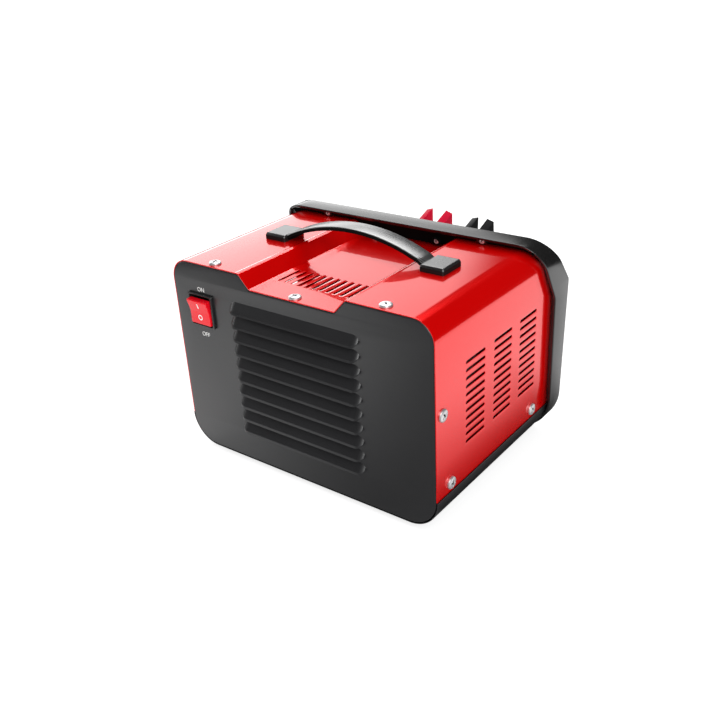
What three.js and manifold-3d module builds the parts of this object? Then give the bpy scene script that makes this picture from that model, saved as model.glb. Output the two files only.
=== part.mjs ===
// Car battery charger: folded steel case with a louvred back, a moulded front frame,
// a strap handle, two parked clamps, and the transformer and rectifier inside.
// Millimetres, +Z up. The back faces +Y, the front tray faces -Y, +X is the side with
// the rear switch. The origin is under the middle of the part, on the surface it stands on.

import * as THREE from 'three';
import { mergeVertices } from 'three/addons/utils/BufferGeometryUtils.js';
import Module from 'manifold-3d';

const wasm = await Module();
wasm.setup();

// Case. Inside the case group, y = 0 is the rear face and z = 0 the underside of the pan.
const CASE_SHIFT_Y = 90.9;
const FOOT_HEIGHT = 6;
const CASE_HALF = 122.5;
const CASE_TOP = 165;
const CASE_TOP_RADIUS = 17;
const CASE_BASE_RADIUS = 24.5;
const SHEET = 1.5;
const GAP = 0.3;
const PAN_TOP = 24.9;
const COVER_LOW = 25.3;

// Trough along the top
const TROUGH_HALF = 50;
const TROUGH_FLOOR_HALF = 40;
const TROUGH_DEPTH = 11;
const TROUGH_LIP_RADIUS = 3.5;
const TROUGH_FLOOR_RADIUS = 2;

// Side slots and trough slots in the cover
const SLOT_COLUMNS = [-39.3, -78.8, -118];
const SLOT_LENGTH = 26.7;
const SLOT_HEIGHT = 2.8;
const SLOT_ROWS = 11;
const SLOT_LOW = 55.4;
const SLOT_PITCH = 6.38;
const VENT_COUNT = 11;
const VENT_PITCH = 6.6;
const VENT_REAR = -25.5;
const VENT_LENGTH = 25;
const VENT_WIDTH = 3;

// Front frame: rear edge and front edge as (y, z) lines that lean back above the kink
const FRAME_HALF = 128;
const FRAME_LOW = -2.5;
const FRAME_TOP = 171.5;
const FRAME_TOP_RADIUS = 22;
const FRAME_BASE_RADIUS = 34;
const REAR_EDGE = [[-166, -40], [-166, 122], [-137.5, 171.5], [-109.6, 220]];
const FRONT_EDGE = [[-179.7, -40], [-189.5, 131], [-157, 171.5], [-118.1, 220]];
const COVER_INTO_FRAME = 4.5;
const FRAME_WALL = 6.5;
const RECESS_DEPTH = 4;
const RECESS_RIM = 2;
const BOSS_RADIUS = 4;
const PANEL_BACK = 8;
const TRAY_HALF = 117.2;
const TRAY_LOW = 8;
const TRAY_TOP = 167;
const TRAY_RADIUS = 17;
const SLEEVE_WALL = 3.3;

// Rear panel and its louvres
const PANEL_FLANGE = 14;
const LOUVRE_COUNT = 10;
const LOUVRE_LOW = 27.6;
const LOUVRE_PITCH = 11.6;
const LOUVRE_HALF = 61;
const LOUVRE_HEIGHT = 9;
const LOUVRE_DEPTH = 5;
const LOUVRE_RADIUS = 7.5;
const LOUVRE_SKIN = 1.2;

// Rocker switches
const SWITCH_X = 93.3;
const SWITCH_Z = 126.25;
const BEZEL_WIDTH = 27.8;
const BEZEL_HEIGHT = 29.5;
const BEZEL_DEPTH = 3;
const SWITCH_BODY_DEPTH = 20;
const POCKET_WIDTH = 22;
const POCKET_HEIGHT = 24.8;
const ROCKER_WIDTH = 21.3;
const ROCKER_PIVOT = -2;
const ROCKER_TILT = THREE.MathUtils.degToRad(8);
const FRONT_SWITCH = [92, 34];

// Screws
const SCREW_HEAD = 5.5;
const SCREW_RISE = 2.9;
const SCREW_SHANK = 2;
const SCREW_LENGTH = 8;
const FRAME_SCREW_HEAD = 2.4;
const FRAME_SCREW_SHANK = 1.2;
const TOP_SCREWS = {
  left: [80, -7, CASE_TOP],
  middle: [0, -6, CASE_TOP - TROUGH_DEPTH],
  right: [-80, -7, CASE_TOP],
};
const SIDE_SCREWS = { upper: [-8.6, 93], rear: [-19, 32.5], front: [-142, 32.5] };
const FRAME_SCREWS = {
  outer: { x: 76, z: 168.3, seat: -141.3, length: 6 },
  inner: { x: 31, z: 159, seat: -146.8, length: 6 },
};

// Strap handle
const STRAP_FRONT = -91;
const STRAP_REAR = -74;
const STRAP_THICK = 3.5;
const STRAP_RADIUS = 147;
const STRAP_CROWN = 183.85;
const STRAP_LOW = 167.15;
const STRAP_BEND = 62;
const STRAP_END = 80;
const CAP_X = [64.5, 85.5];
const CAP_Y = [-95, -70];
const CAP_TOP = 170.3;
const CAP_DRAFT = 1.4;

// Front panel instruments, as (x, z) on the upright part of the panel
const METER = { x: 66, z: 88, width: 66, height: 52, depth: 13, dialIn: 6, pivotDrop: 17 };
const NEEDLE_REST = THREE.MathUtils.degToRad(-42);
const NEEDLE_LENGTH = 29;
const NEEDLE_TAIL = 5;
const SELECTOR = [48, 34];
const LAMPS = { charging: [20, 104], charged: [20, 84] };
const FUSE = [-94, 58];
const MAINS_GLAND = [-94, 26];
const LEAD_GLANDS = { red: [-12, 26], black: [-53, 26] };

// Clamps, parked upright in the tray with their handles up
const CLAMP_Y = -172;
const CLAMP_TOP = 67.8;
const CLAMP_HALF = 9.8;
const CLAMP_HANDLE = [6.55, 12.55];
const CLAMP_END_SLOPE = { along: 20, across: 18 };
const POST_DROP = 33;
const CLAMPS = {
  red: { x: -11.6, z: 105, tilt: 0, post: 6.4 },
  black: { x: -53.2, z: 103.5, tilt: THREE.MathUtils.degToRad(2.1), post: 7.6 },
};

// Transformer
const CORE = { x: -38, y: -84, low: 5, width: 104, depth: 50, height: 88, leg: 34, yoke: 17 };
const WINDING_BUILD = 15;
const RECTIFIER_X = 52;

// ---- geometry helpers -------------------------------------------------------------

// Vertices merged, pole triangles dropped, faces turned outwards.
function closed(geometry) {
  const bare = geometry.clone();
  bare.deleteAttribute('normal');
  bare.deleteAttribute('uv');
  const merged = mergeVertices(bare, 1e-4);
  const index = merged.index.array;
  const p = merged.attributes.position;
  const kept = [];
  let volume = 0;
  for (let i = 0; i < index.length; i += 3) {
    const [a, b, c] = [index[i], index[i + 1], index[i + 2]];
    if (a === b || b === c || c === a) {
      continue;
    }
    kept.push([a, b, c]);
    const va = new THREE.Vector3().fromBufferAttribute(p, a);
    const vb = new THREE.Vector3().fromBufferAttribute(p, b);
    const vc = new THREE.Vector3().fromBufferAttribute(p, c);
    volume += va.dot(vb.cross(vc));
  }
  merged.setIndex(kept.flatMap(([a, b, c]) => (volume < 0 ? [a, c, b] : [a, b, c])));
  return merged;
}

function solid(geometry) {
  const shell = closed(geometry);
  return new wasm.Manifold(new wasm.Mesh({
    numProp: 3,
    vertProperties: new Float32Array(shell.attributes.position.array),
    triVerts: new Uint32Array(shell.index.array),
  }));
}

function skin(body) {
  const mesh = body.getMesh();
  const geometry = new THREE.BufferGeometry();
  geometry.setAttribute('position', new THREE.BufferAttribute(new Float32Array(mesh.vertProperties), 3));
  geometry.setIndex(new THREE.BufferAttribute(new Uint32Array(mesh.triVerts), 1));
  geometry.computeVertexNormals();
  return geometry;
}

const join = (bodies) => bodies.reduce((sum, body) => sum.add(body));
const cut = (body, tools) => tools.reduce((rest, tool) => rest.subtract(tool), body);

// A closed outline from corners [a, b, radius], each rounded by an arc of `steps` chords.
function rounded(corners, steps = 4) {
  const out = [];
  corners.forEach(([a, b, radius = 0], i) => {
    const corner = new THREE.Vector2(a, b);
    if (radius <= 0) {
      out.push(corner);
      return;
    }
    const last = corners[(i + corners.length - 1) % corners.length];
    const next = corners[(i + 1) % corners.length];
    const back = new THREE.Vector2(last[0], last[1]).sub(corner).normalize();
    const ahead = new THREE.Vector2(next[0], next[1]).sub(corner).normalize();
    const half = Math.acos(THREE.MathUtils.clamp(back.dot(ahead), -1, 1)) / 2;
    const reach = radius / Math.tan(half);
    const centre = back.clone().add(ahead).normalize().multiplyScalar(radius / Math.sin(half)).add(corner);
    const from = corner.clone().addScaledVector(back, reach).sub(centre);
    const to = corner.clone().addScaledVector(ahead, reach).sub(centre);
    const turn = Math.atan2(from.cross(to), from.dot(to));
    for (let s = 0; s <= steps; s += 1) {
      const spoke = from.clone().rotateAround(new THREE.Vector2(), (turn * s) / steps);
      out.push(spoke.add(centre));
    }
  });
  return out;
}

function extruded(points, depth) {
  const shape = new THREE.Shape(points.map((p) => (p.isVector2 ? p : new THREE.Vector2(p[0], p[1]))));
  return new THREE.ExtrudeGeometry(shape, { depth, bevelEnabled: false, steps: 1 });
}

// Outlines in XZ run along Y, in YZ along X, in XY along Z, each between the two limits.
function alongY(points, low, high) {
  return extruded(points, high - low).rotateX(Math.PI / 2).translate(0, high, 0);
}

function alongX(points, low, high) {
  const turn = new THREE.Matrix4().makeBasis(
    new THREE.Vector3(0, 1, 0),
    new THREE.Vector3(0, 0, 1),
    new THREE.Vector3(1, 0, 0),
  );
  return extruded(points, high - low).applyMatrix4(turn).translate(low, 0, 0);
}

function alongZ(points, low, high) {
  return extruded(points, high - low).translate(0, 0, low);
}

function box(x, y, z) {
  return new THREE.BoxGeometry(x[1] - x[0], y[1] - y[0], z[1] - z[0])
    .translate((x[0] + x[1]) / 2, (y[0] + y[1]) / 2, (z[0] + z[1]) / 2);
}

// A turned piece whose axis is +Z: profile points are [radius, z].
function turned(profile, sides = 16) {
  const points = profile.map(([r, z]) => new THREE.Vector2(r, z));
  return closed(new THREE.LatheGeometry(points, sides).rotateX(Math.PI / 2));
}

function rod(radius, low, high, sides = 16) {
  return turned([[0, low], [radius, low], [radius, high], [0, high]], sides);
}

// A slot with half-round ends, `length` along a and `width` along b.
function slotOutline(a, b, length, width, steps = 1) {
  return rectangle(a, b, length, width, Math.min(length, width) * 0.4995, steps);
}

function rectangle(a, b, width, height, radius, steps = 3) {
  const [ha, hb] = [width / 2, height / 2];
  return rounded([
    [a - ha, b - hb, radius],
    [a + ha, b - hb, radius],
    [a + ha, b + hb, radius],
    [a - ha, b + hb, radius],
  ], steps);
}

// The case's outline moved inwards by `inset` (outwards if negative).
function caseOutline(inset) {
  const wallRun = TROUGH_HALF - TROUGH_FLOOR_HALF;
  const wall = Math.hypot(wallRun, TROUGH_DEPTH);
  const spread = (inset * (1 - wallRun / wall)) / (TROUGH_DEPTH / wall);
  const half = CASE_HALF - inset;
  const top = CASE_TOP - inset;
  const floor = top - TROUGH_DEPTH;
  const lip = Math.max(TROUGH_LIP_RADIUS - inset, 0.4);
  const nook = Math.max(TROUGH_FLOOR_RADIUS + inset, 0.4);
  return [
    ...rounded([[half, inset, CASE_BASE_RADIUS - inset], [half, top, CASE_TOP_RADIUS - inset],
      [TROUGH_HALF + spread, top, lip], [TROUGH_FLOOR_HALF + spread, floor, nook],
      [-TROUGH_FLOOR_HALF - spread, floor, nook], [-TROUGH_HALF - spread, top, lip],
      [-half, top, CASE_TOP_RADIUS - inset], [-half, inset, CASE_BASE_RADIUS - inset]], 5),
  ];
}

// Everything in front of (or behind) an edge line that is shifted by dy.
function inFront(edge, dy) {
  const far = edge[0][0] - 400;
  const face = edge.map(([y, z]) => [y + dy, z]);
  return solid(alongX([...face, [far, edge[3][1]], [far, edge[0][1]]], -200, 200));
}

function behind(edge, dy) {
  const far = edge[3][0] + 400;
  const face = edge.map(([y, z]) => [y + dy, z]);
  return solid(alongX([...face, [far, edge[3][1]], [far, edge[0][1]]], -200, 200));
}

// ---- scene ------------------------------------------------------------------------

const charger = new THREE.Group();
const caseGroup = new THREE.Group();
caseGroup.position.set(0, CASE_SHIFT_Y, FOOT_HEIGHT);
charger.add(caseGroup);

function add(name, geometry, look, place = {}) {
  const material = new THREE.MeshStandardMaterial({
    color: look.color,
    roughness: look.roughness,
    metalness: look.metalness ?? 0,
  });
  const mesh = new THREE.Mesh(geometry, material);
  mesh.name = name;
  mesh.position.set(...(place.at ?? [0, 0, 0]));
  mesh.rotation.set(...(place.turn ?? [0, 0, 0]));
  (place.into ?? caseGroup).add(mesh);
  return mesh;
}

const RED_GLOSS = { color: 0xb81410, roughness: 0.2, metalness: 0.0 };
const BLACK_PAINT = { color: 0x202123, roughness: 0.5, metalness: 0.0 };
const BLACK_MOULDING = { color: 0x1c1c1e, roughness: 0.45 };
const BLACK_RUBBER = { color: 0x151515, roughness: 0.85 };
const STRAP_LOOK = { color: 0x26262a, roughness: 0.4 };
const BRIGHT_STEEL = { color: 0xb9bbbe, roughness: 0.3, metalness: 1 };
const RED_PLASTIC = { color: 0xc41a12, roughness: 0.35 };
const BLACK_PLASTIC = { color: 0x18181a, roughness: 0.45 };
const IRON = { color: 0x4b4c50, roughness: 0.55, metalness: 0.8 };
const COPPER = { color: 0x8c4425, roughness: 0.45, metalness: 0.6 };
const ALUMINIUM = { color: 0xa9abad, roughness: 0.4, metalness: 0.9 };
const DIAL_WHITE = { color: 0xeeece4, roughness: 0.6 };
const CLEAR = { color: 0xe6eef0, roughness: 0.08 };
const LENS_RED = { color: 0xc0140c, roughness: 0.2 };
const LENS_GREEN = { color: 0x13913a, roughness: 0.2 };

// ---- sheet metal and frame ----------------------------------------------------------

const caseRear = 0;
const farFront = -210;

// Screw holes: top screws go down, side screws go inwards.
const topHoles = Object.values(TOP_SCREWS)
  .map(([x, y, z]) => solid(rod(SCREW_SHANK + GAP, -20, 5, 12).translate(x, y, z)));
const sideHoles = [1, -1].flatMap((side) => Object.values(SIDE_SCREWS).map(([y, z]) => solid(
  rod(SCREW_SHANK + GAP, -20, 5, 12).rotateY((side * Math.PI) / 2).translate(side * CASE_HALF, y, z),
)));

const wholeCase = solid(alongY(caseOutline(0), farFront, caseRear));
const caseCore = solid(alongY(caseOutline(SHEET), farFront - 1, caseRear + 1));
const coverZone = solid(box([-200, 200], [-210, 5], [COVER_LOW, 220]));
const sideSlots = SLOT_COLUMNS.flatMap((rear) => Array.from({ length: SLOT_ROWS }, (_, row) => solid(alongX(
  slotOutline(rear - SLOT_LENGTH / 2, SLOT_LOW + row * SLOT_PITCH, SLOT_LENGTH, SLOT_HEIGHT),
  -CASE_HALF - 5,
  CASE_HALF + 5,
))));
const troughVents = Array.from({ length: VENT_COUNT }, (_, i) => solid(alongZ(
  slotOutline((i - (VENT_COUNT - 1) / 2) * VENT_PITCH, VENT_REAR - VENT_LENGTH / 2, VENT_WIDTH, VENT_LENGTH),
  140,
  175,
)));
const cover = cut(
  wholeCase.subtract(caseCore).intersect(coverZone).intersect(behind(REAR_EDGE, -COVER_INTO_FRAME)),
  [...sideSlots, ...troughVents, ...topHoles, ...sideHoles],
);
add('cover', skin(cover), RED_GLOSS);

// Base pan: a U-shaped floor whose side flanges stand inside the cover.
const flangeX = [CASE_HALF - SHEET - GAP - SHEET, CASE_HALF - SHEET - GAP];
const panZone = solid(box([-200, 200], [-210, 5], [-5, PAN_TOP]));
const panShell = wholeCase.subtract(caseCore).intersect(panZone);
const panFlanges = [1, -1].flatMap((side) => {
  const sorted = (x) => [side * x[0], side * x[1]].sort((p, q) => p - q);
  return [
    solid(box(sorted(flangeX), [farFront, -15.5], [PAN_TOP - 2, 44])),
    solid(box(sorted([flangeX[0], CASE_HALF - SHEET / 2]), [farFront, -15.5], [19, PAN_TOP])),
  ];
});
const panLimit = behind(REAR_EDGE, -COVER_INTO_FRAME);
add('base_pan', skin(cut(join([panShell, ...panFlanges]).intersect(panLimit), sideHoles)), BLACK_PAINT);

// Rear panel: a plate just inside the case edge with a flange all round and pressed louvres.
const plateOuter = solid(alongY(caseOutline(SHEET + GAP), -PANEL_FLANGE, 0));
const plateInner = solid(alongY(caseOutline(SHEET * 2 + GAP), -PANEL_FLANGE - 1, -SHEET));
function louvreBody(lip, shrink) {
  const half = LOUVRE_HALF - shrink;
  const top = lip + LOUVRE_HEIGHT - shrink;
  const radius = LOUVRE_RADIUS - shrink;
  const low = shrink > 0 ? lip - 0.1 : lip;
  const rear = shrink > 0 ? -SHEET - 1 : -SHEET / 2;
  const face = alongY(rounded([[-half, low], [half, low], [half, top, radius], [-half, top, radius]], 3),
    rear, LOUVRE_DEPTH - shrink);
  const depth = LOUVRE_DEPTH - shrink;
  const wedge = alongX(
    [[rear - 1, low - 1], [depth, low - 1], [depth, lip + 1.2],
      [depth * 0.72, lip + LOUVRE_HEIGHT * 0.5 - shrink], [0, top + 0.01], [rear - 1, top + 0.01]],
    -half - 1,
    half + 1,
  );
  return solid(face).intersect(solid(wedge));
}
const lips = Array.from({ length: LOUVRE_COUNT }, (_, i) => LOUVRE_LOW + i * LOUVRE_PITCH);
const switchCutout = solid(box(
  [SWITCH_X - POCKET_WIDTH / 2 - 1.6, SWITCH_X + POCKET_WIDTH / 2 + 1.6],
  [-5, 5],
  [SWITCH_Z - POCKET_HEIGHT / 2 - 1.6, SWITCH_Z + POCKET_HEIGHT / 2 + 1.6],
));
const rearPanel = cut(
  join([plateOuter.subtract(plateInner), ...lips.map((lip) => louvreBody(lip, 0))]),
  [...lips.map((lip) => louvreBody(lip, LOUVRE_SKIN)), switchCutout, ...topHoles, ...sideHoles],
);
add('rear_panel', skin(rearPanel), BLACK_PAINT);

// Front frame: an outer band with a groove for the case edge and a recess round it, a sleeve
// back to the panel, and the tray opening through both. Bosses in the recess carry the screws.
const frameOutline = (inset) => rounded([
  [FRAME_HALF - inset, FRAME_LOW + inset, FRAME_BASE_RADIUS - inset],
  [FRAME_HALF - inset, FRAME_TOP - inset, FRAME_TOP_RADIUS - inset],
  [-FRAME_HALF + inset, FRAME_TOP - inset, FRAME_TOP_RADIUS - inset],
  [-FRAME_HALF + inset, FRAME_LOW + inset, FRAME_BASE_RADIUS - inset],
], 6);
const bosses = [1, -1].flatMap((side) => Object.values(FRAME_SCREWS).map((s) => solid(
  rod(BOSS_RADIUS, -30, 30, 14).rotateX(Math.PI / 2).translate(side * s.x, s.seat, s.z),
)));
const groove = solid(alongY(caseOutline(-GAP), -230, -50))
  .intersect(behind(REAR_EDGE, -COVER_INTO_FRAME - GAP));
const recess = cut(
  solid(alongY(frameOutline(RECESS_RIM), -230, -50)).intersect(behind(REAR_EDGE, -RECESS_DEPTH)),
  bosses,
);
const band = solid(alongY(frameOutline(0), -230, -60))
  .intersect(inFront(REAR_EDGE, 0))
  .intersect(behind(FRONT_EDGE, 0))
  .subtract(recess)
  .subtract(groove);
const sleeve = solid(alongY(caseOutline(SHEET + GAP + SHEET + GAP), -230, -50))
  .intersect(inFront(REAR_EDGE, PANEL_BACK - GAP))
  .intersect(behind(FRONT_EDGE, 0));
const trayMouth = solid(alongY(rounded([
  [TRAY_HALF, TRAY_LOW, TRAY_RADIUS], [TRAY_HALF, TRAY_TOP, TRAY_RADIUS],
  [-TRAY_HALF, TRAY_TOP, TRAY_RADIUS], [-TRAY_HALF, TRAY_LOW, TRAY_RADIUS],
], 5), -240, -50)).intersect(inFront(REAR_EDGE, -FRAME_WALL));
const trayThroat = solid(alongY(caseOutline(SHEET * 2 + GAP * 2 + SLEEVE_WALL), -240, -40));
const frameScrewHoles = [1, -1].flatMap((side) => Object.values(FRAME_SCREWS).flatMap((s) => [
  rod(FRAME_SCREW_HEAD + GAP, 0, 20, 12),
  rod(FRAME_SCREW_SHANK + GAP, -s.length - GAP, 1, 8),
].map((hole) => solid(hole.rotateX(-Math.PI / 2).translate(side * s.x, s.seat, s.z)))));
const frame = cut(join([band, sleeve]), [trayMouth, trayThroat, ...frameScrewHoles]);
add('front_frame', skin(frame), BLACK_MOULDING);

// Front panel: a folded plate behind the tray with its instrument cut-outs.
const meterCutout = (r) => solid(rod(r, -30, 30, r > 10 ? 20 : 12).rotateX(-Math.PI / 2));
const panelFace = REAR_EDGE[0][0] + PANEL_BACK;
function roundCutout([x, z], r) {
  return meterCutout(r).translate([x, panelFace, z]);
}
const frontSwitchCutout = solid(box(
  [FRONT_SWITCH[0] - POCKET_WIDTH / 2 - 1.6, FRONT_SWITCH[0] + POCKET_WIDTH / 2 + 1.6],
  [panelFace - 5, panelFace + 5],
  [FRONT_SWITCH[1] - POCKET_HEIGHT / 2 - 1.6, FRONT_SWITCH[1] + POCKET_HEIGHT / 2 + 1.6],
));
const posts = Object.values(CLAMPS).map((clamp) => [clamp.x, clamp.z - POST_DROP]);
const frontPanel = cut(
  solid(alongY(caseOutline(SHEET * 2 + GAP * 2), -200, -100))
    .intersect(inFront(REAR_EDGE, PANEL_BACK + SHEET))
    .intersect(behind(REAR_EDGE, PANEL_BACK)),
  [
    roundCutout([METER.x, METER.z], 19 + GAP),
    roundCutout(SELECTOR, 3 + GAP),
    ...Object.values(LAMPS).map((at) => roundCutout(at, 4 + GAP)),
    roundCutout(FUSE, 6 + GAP),
    roundCutout(MAINS_GLAND, 7 + GAP),
    ...Object.values(LEAD_GLANDS).map((at) => roundCutout(at, 7 + GAP)),
    ...posts.map((at) => roundCutout(at, 3 + GAP)),
    frontSwitchCutout,
  ],
);
add('front_panel', skin(frontPanel), BLACK_PAINT);

// ---- screws and feet -----------------------------------------------------------------

// Pan-head screw with a cross recess; the axis is +Z and the head sits on z = 0.
function panScrew(head, rise, shank, length, sides) {
  const body = solid(turned([
    [0, -length], [shank, -length + shank * 0.5], [shank, GAP], [head, GAP], [head, rise * 0.45],
    [head * 0.72, rise * 0.9], [head * 0.3, rise], [0, rise],
  ], sides));
  const arm = head * 0.62;
  const slot = head * 0.12;
  const deep = rise * 0.45;
  return skin(cut(body, [
    solid(box([-arm, arm], [-slot, slot], [rise - deep, rise + 1])),
    solid(box([-slot, slot], [-arm, arm], [rise - deep, rise + 1])),
  ]));
}
const caseScrew = panScrew(SCREW_HEAD, SCREW_RISE, SCREW_SHANK, SCREW_LENGTH, 12);
Object.entries(TOP_SCREWS).forEach(([name, at]) => {
  add(`top_screw_${name}`, caseScrew, BRIGHT_STEEL, { at, turn: [0, 0, 0.4] });
});
[[1, 'left'], [-1, 'right']].forEach(([side, sideName]) => {
  Object.entries(SIDE_SCREWS).forEach(([name, [y, z]]) => {
    add(`side_screw_${sideName}_${name}`, caseScrew, BRIGHT_STEEL, {
      at: [side * CASE_HALF, y, z],
      turn: [0, (side * Math.PI) / 2, 0],
    });
  });
  Object.entries(FRAME_SCREWS).forEach(([name, s]) => {
    add(
      `frame_screw_${sideName}_${name}`,
      panScrew(FRAME_SCREW_HEAD, 1.7, FRAME_SCREW_SHANK, s.length - GAP, 8),
      BRIGHT_STEEL,
      { at: [side * s.x, s.seat, s.z], turn: [-Math.PI / 2, 0, 0] },
    );
  });
});

const foot = turned([
  [0, -FOOT_HEIGHT], [5.6, -FOOT_HEIGHT], [6.4, -FOOT_HEIGHT + 0.8], [7.2, -GAP], [0, -GAP],
], 20);
[[1, 'left'], [-1, 'right']].forEach(([side, sideName]) => {
  [[-18, 'rear'], [-148, 'front']].forEach(([y, endName]) => {
    add(`foot_${sideName}_${endName}`, foot, BLACK_RUBBER, { at: [side * 90, y, 0] });
  });
});

// ---- strap handle -----------------------------------------------------------------------

// The strap's middle line is an arc that eases into flat ends.
const strapLine = [];
for (let i = 0; i <= 14; i += 1) {
  const x = -STRAP_BEND + (2 * STRAP_BEND * i) / 14;
  strapLine.push(new THREE.Vector2(x, STRAP_CROWN - STRAP_RADIUS + Math.sqrt(STRAP_RADIUS ** 2 - x * x)));
}
const easeX = [66, 70];
strapLine.push(new THREE.Vector2(easeX[0], STRAP_LOW + 0.75), new THREE.Vector2(easeX[1], STRAP_LOW));
strapLine.push(new THREE.Vector2(STRAP_END, STRAP_LOW));
strapLine.unshift(new THREE.Vector2(-easeX[0], STRAP_LOW + 0.75));
strapLine.unshift(new THREE.Vector2(-easeX[1], STRAP_LOW));
strapLine.unshift(new THREE.Vector2(-STRAP_END, STRAP_LOW));

function offsetLine(line, distance) {
  return line.map((point, i) => {
    const before = line[Math.max(i - 1, 0)];
    const after = line[Math.min(i + 1, line.length - 1)];
    const along = after.clone().sub(before).normalize();
    return new THREE.Vector2(point.x - along.y * distance, point.y + along.x * distance);
  });
}
const strapOutline = [
  ...offsetLine(strapLine, STRAP_THICK / 2),
  ...offsetLine(strapLine, -STRAP_THICK / 2).reverse(),
];
add('handle_strap', closed(alongY(strapOutline, STRAP_FRONT, STRAP_REAR)), STRAP_LOOK);

// End cap: a drafted block with a pocket that takes the strap's end.
function handleCap(side) {
  const sorted = (x) => [side * x[0], side * x[1]].sort((p, q) => p - q);
  const [x0, x1] = sorted(CAP_X);
  const base = CASE_TOP + GAP;
  const [y0, y1] = CAP_Y;
  const plan = rounded([[x0, y0, 1.5], [x1, y0, 1.5], [x1, y1, 1.5], [x0, y1, 1.5]], 2);
  const block = solid(alongZ(plan, base, CAP_TOP));
  const chamferX = solid(alongY([
    [x0, base], [x1, base], [x1, base + 3],
    [x1 - CAP_DRAFT, CAP_TOP], [x0 + CAP_DRAFT, CAP_TOP], [x0, base + 3],
  ], y0, y1));
  const chamferY = solid(alongX([
    [y0, base], [y1, base], [y1, base + 3],
    [y1 - CAP_DRAFT, CAP_TOP], [y0 + CAP_DRAFT, CAP_TOP], [y0, base + 3],
  ], x0, x1));
  const pocket = solid(box(
    sorted([CAP_X[0] - 2, STRAP_END + 0.6]),
    [STRAP_FRONT - GAP, STRAP_REAR + GAP],
    [base - 1, STRAP_LOW + STRAP_THICK / 2 + GAP],
  ));
  const throat = solid(alongY(
    [[side * 60, base - 1], [side * 60, 172], [side * 66.3, 170.1], [side * 71, STRAP_LOW + STRAP_THICK / 2],
      [side * 71, base - 1]],
    STRAP_FRONT - GAP,
    STRAP_REAR + GAP,
  ));
  return skin(cut(block.intersect(chamferX).intersect(chamferY), [pocket, throat]));
}
add('handle_cap_left', handleCap(1), BLACK_PLASTIC);
add('handle_cap_right', handleCap(-1), BLACK_PLASTIC);

// ---- rocker switches ----------------------------------------------------------------------

// Switch parts face +Y with the panel's outer face at y = 0 and the middle at x = z = 0.
function switchHousing() {
  const bezel = solid(alongY(rectangle(0, 0, BEZEL_WIDTH, BEZEL_HEIGHT, 1.2, 2), GAP, BEZEL_DEPTH));
  const bodyHalfX = POCKET_WIDTH / 2 + 1.3;
  const bodyHalfZ = POCKET_HEIGHT / 2 + 1.3;
  const body = solid(box([-bodyHalfX, bodyHalfX], [-SWITCH_BODY_DEPTH, 1], [-bodyHalfZ, bodyHalfZ]));
  const pocket = solid(box(
    [-POCKET_WIDTH / 2, POCKET_WIDTH / 2],
    [-12, 10],
    [-POCKET_HEIGHT / 2, POCKET_HEIGHT / 2],
  ));
  const blades = [-7, 0, 7].map((z) => solid(box(
    [-3.2, 3.2],
    [-SWITCH_BODY_DEPTH - 8, -SWITCH_BODY_DEPTH + 1],
    [z - 0.4, z + 0.4],
  )));
  return skin(cut(join([bezel, body, ...blades]), [pocket]));
}

function switchRocker() {
  const outline = rounded([
    [8.5, 10.8, 0.8], [7.6, 5, 4], [7.2, 0], [7.6, -5, 4], [8.5, -10.8, 0.8],
    [2, -10.4], [-5, -4, 1.5], [-5, 4, 1.5], [2, 10.4],
  ], 2);
  return closed(alongX(outline, -ROCKER_WIDTH / 2, ROCKER_WIDTH / 2));
}

function addSwitch(prefix, x, y, z, facing) {
  const mount = new THREE.Group();
  mount.position.set(x, y, z);
  mount.rotation.z = facing;
  caseGroup.add(mount);
  add(`${prefix}_housing`, switchHousing(), BLACK_PLASTIC, { into: mount });
  add(`${prefix}_rocker`, switchRocker(), RED_PLASTIC, {
    into: mount,
    at: [0, ROCKER_PIVOT, 0],
    turn: [-ROCKER_TILT, 0, 0],
  });
}
addSwitch('rear_switch', SWITCH_X, 0, SWITCH_Z, 0);
addSwitch('front_switch', FRONT_SWITCH[0], panelFace, FRONT_SWITCH[1], Math.PI);

// ---- front panel instruments ------------------------------------------------------------------

// Panel pieces are turned about +Z and then face -Y, with the panel's front face at z = 0.
const facingFront = [Math.PI / 2, 0, 0];
const onPanel = ([x, z]) => [x, panelFace, z];

// The meter faces -Y; its panel face is y = 0 and its middle x = z = 0.
const meterGroup = new THREE.Group();
meterGroup.position.set(METER.x, panelFace, METER.z);
caseGroup.add(meterGroup);
const meterFace = rectangle(0, 0, METER.width, METER.height, 4, 3);
const meterWell = rectangle(0, 0, METER.width - 6, METER.height - 6, 2.5, 3);
const meterRebate = rectangle(0, 0, METER.width - 3.4, METER.height - 3.4, 3, 3);
const meterCase = join([
  solid(alongY(meterFace, -METER.depth, -GAP)),
  solid(rod(19, -2, 22, 20).rotateX(-Math.PI / 2)),
]);
const wellFloor = -METER.depth + METER.dialIn;
add('ammeter_case', skin(cut(meterCase, [
  solid(alongY(meterWell, -METER.depth - 1, wellFloor)),
  solid(alongY(meterRebate, -METER.depth - 1, -METER.depth + 1.6)),
])), BLACK_PLASTIC, { into: meterGroup });
const dialOutline = rectangle(0, 0, METER.width - 6 - 2 * GAP, METER.height - 6 - 2 * GAP, 2.3, 3);
const needleY = wellFloor - GAP - 0.8;
add('ammeter_dial', closed(alongY(dialOutline, needleY, wellFloor - GAP)), DIAL_WHITE, { into: meterGroup });
const needle = join([
  solid(rod(3.2, GAP, 2.2, 12).rotateX(Math.PI / 2)),
  solid(box([-0.5, 0.5], [-1.9, -1.1], [-NEEDLE_TAIL, NEEDLE_LENGTH])),
]);
add('ammeter_needle', skin(needle), RED_PLASTIC, {
  into: meterGroup,
  at: [0, needleY, -METER.pivotDrop],
  turn: [0, NEEDLE_REST, 0],
});
const windowOutline = rectangle(0, 0, METER.width - 3.4 - 2 * GAP, METER.height - 3.4 - 2 * GAP, 2.7, 3);
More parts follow.
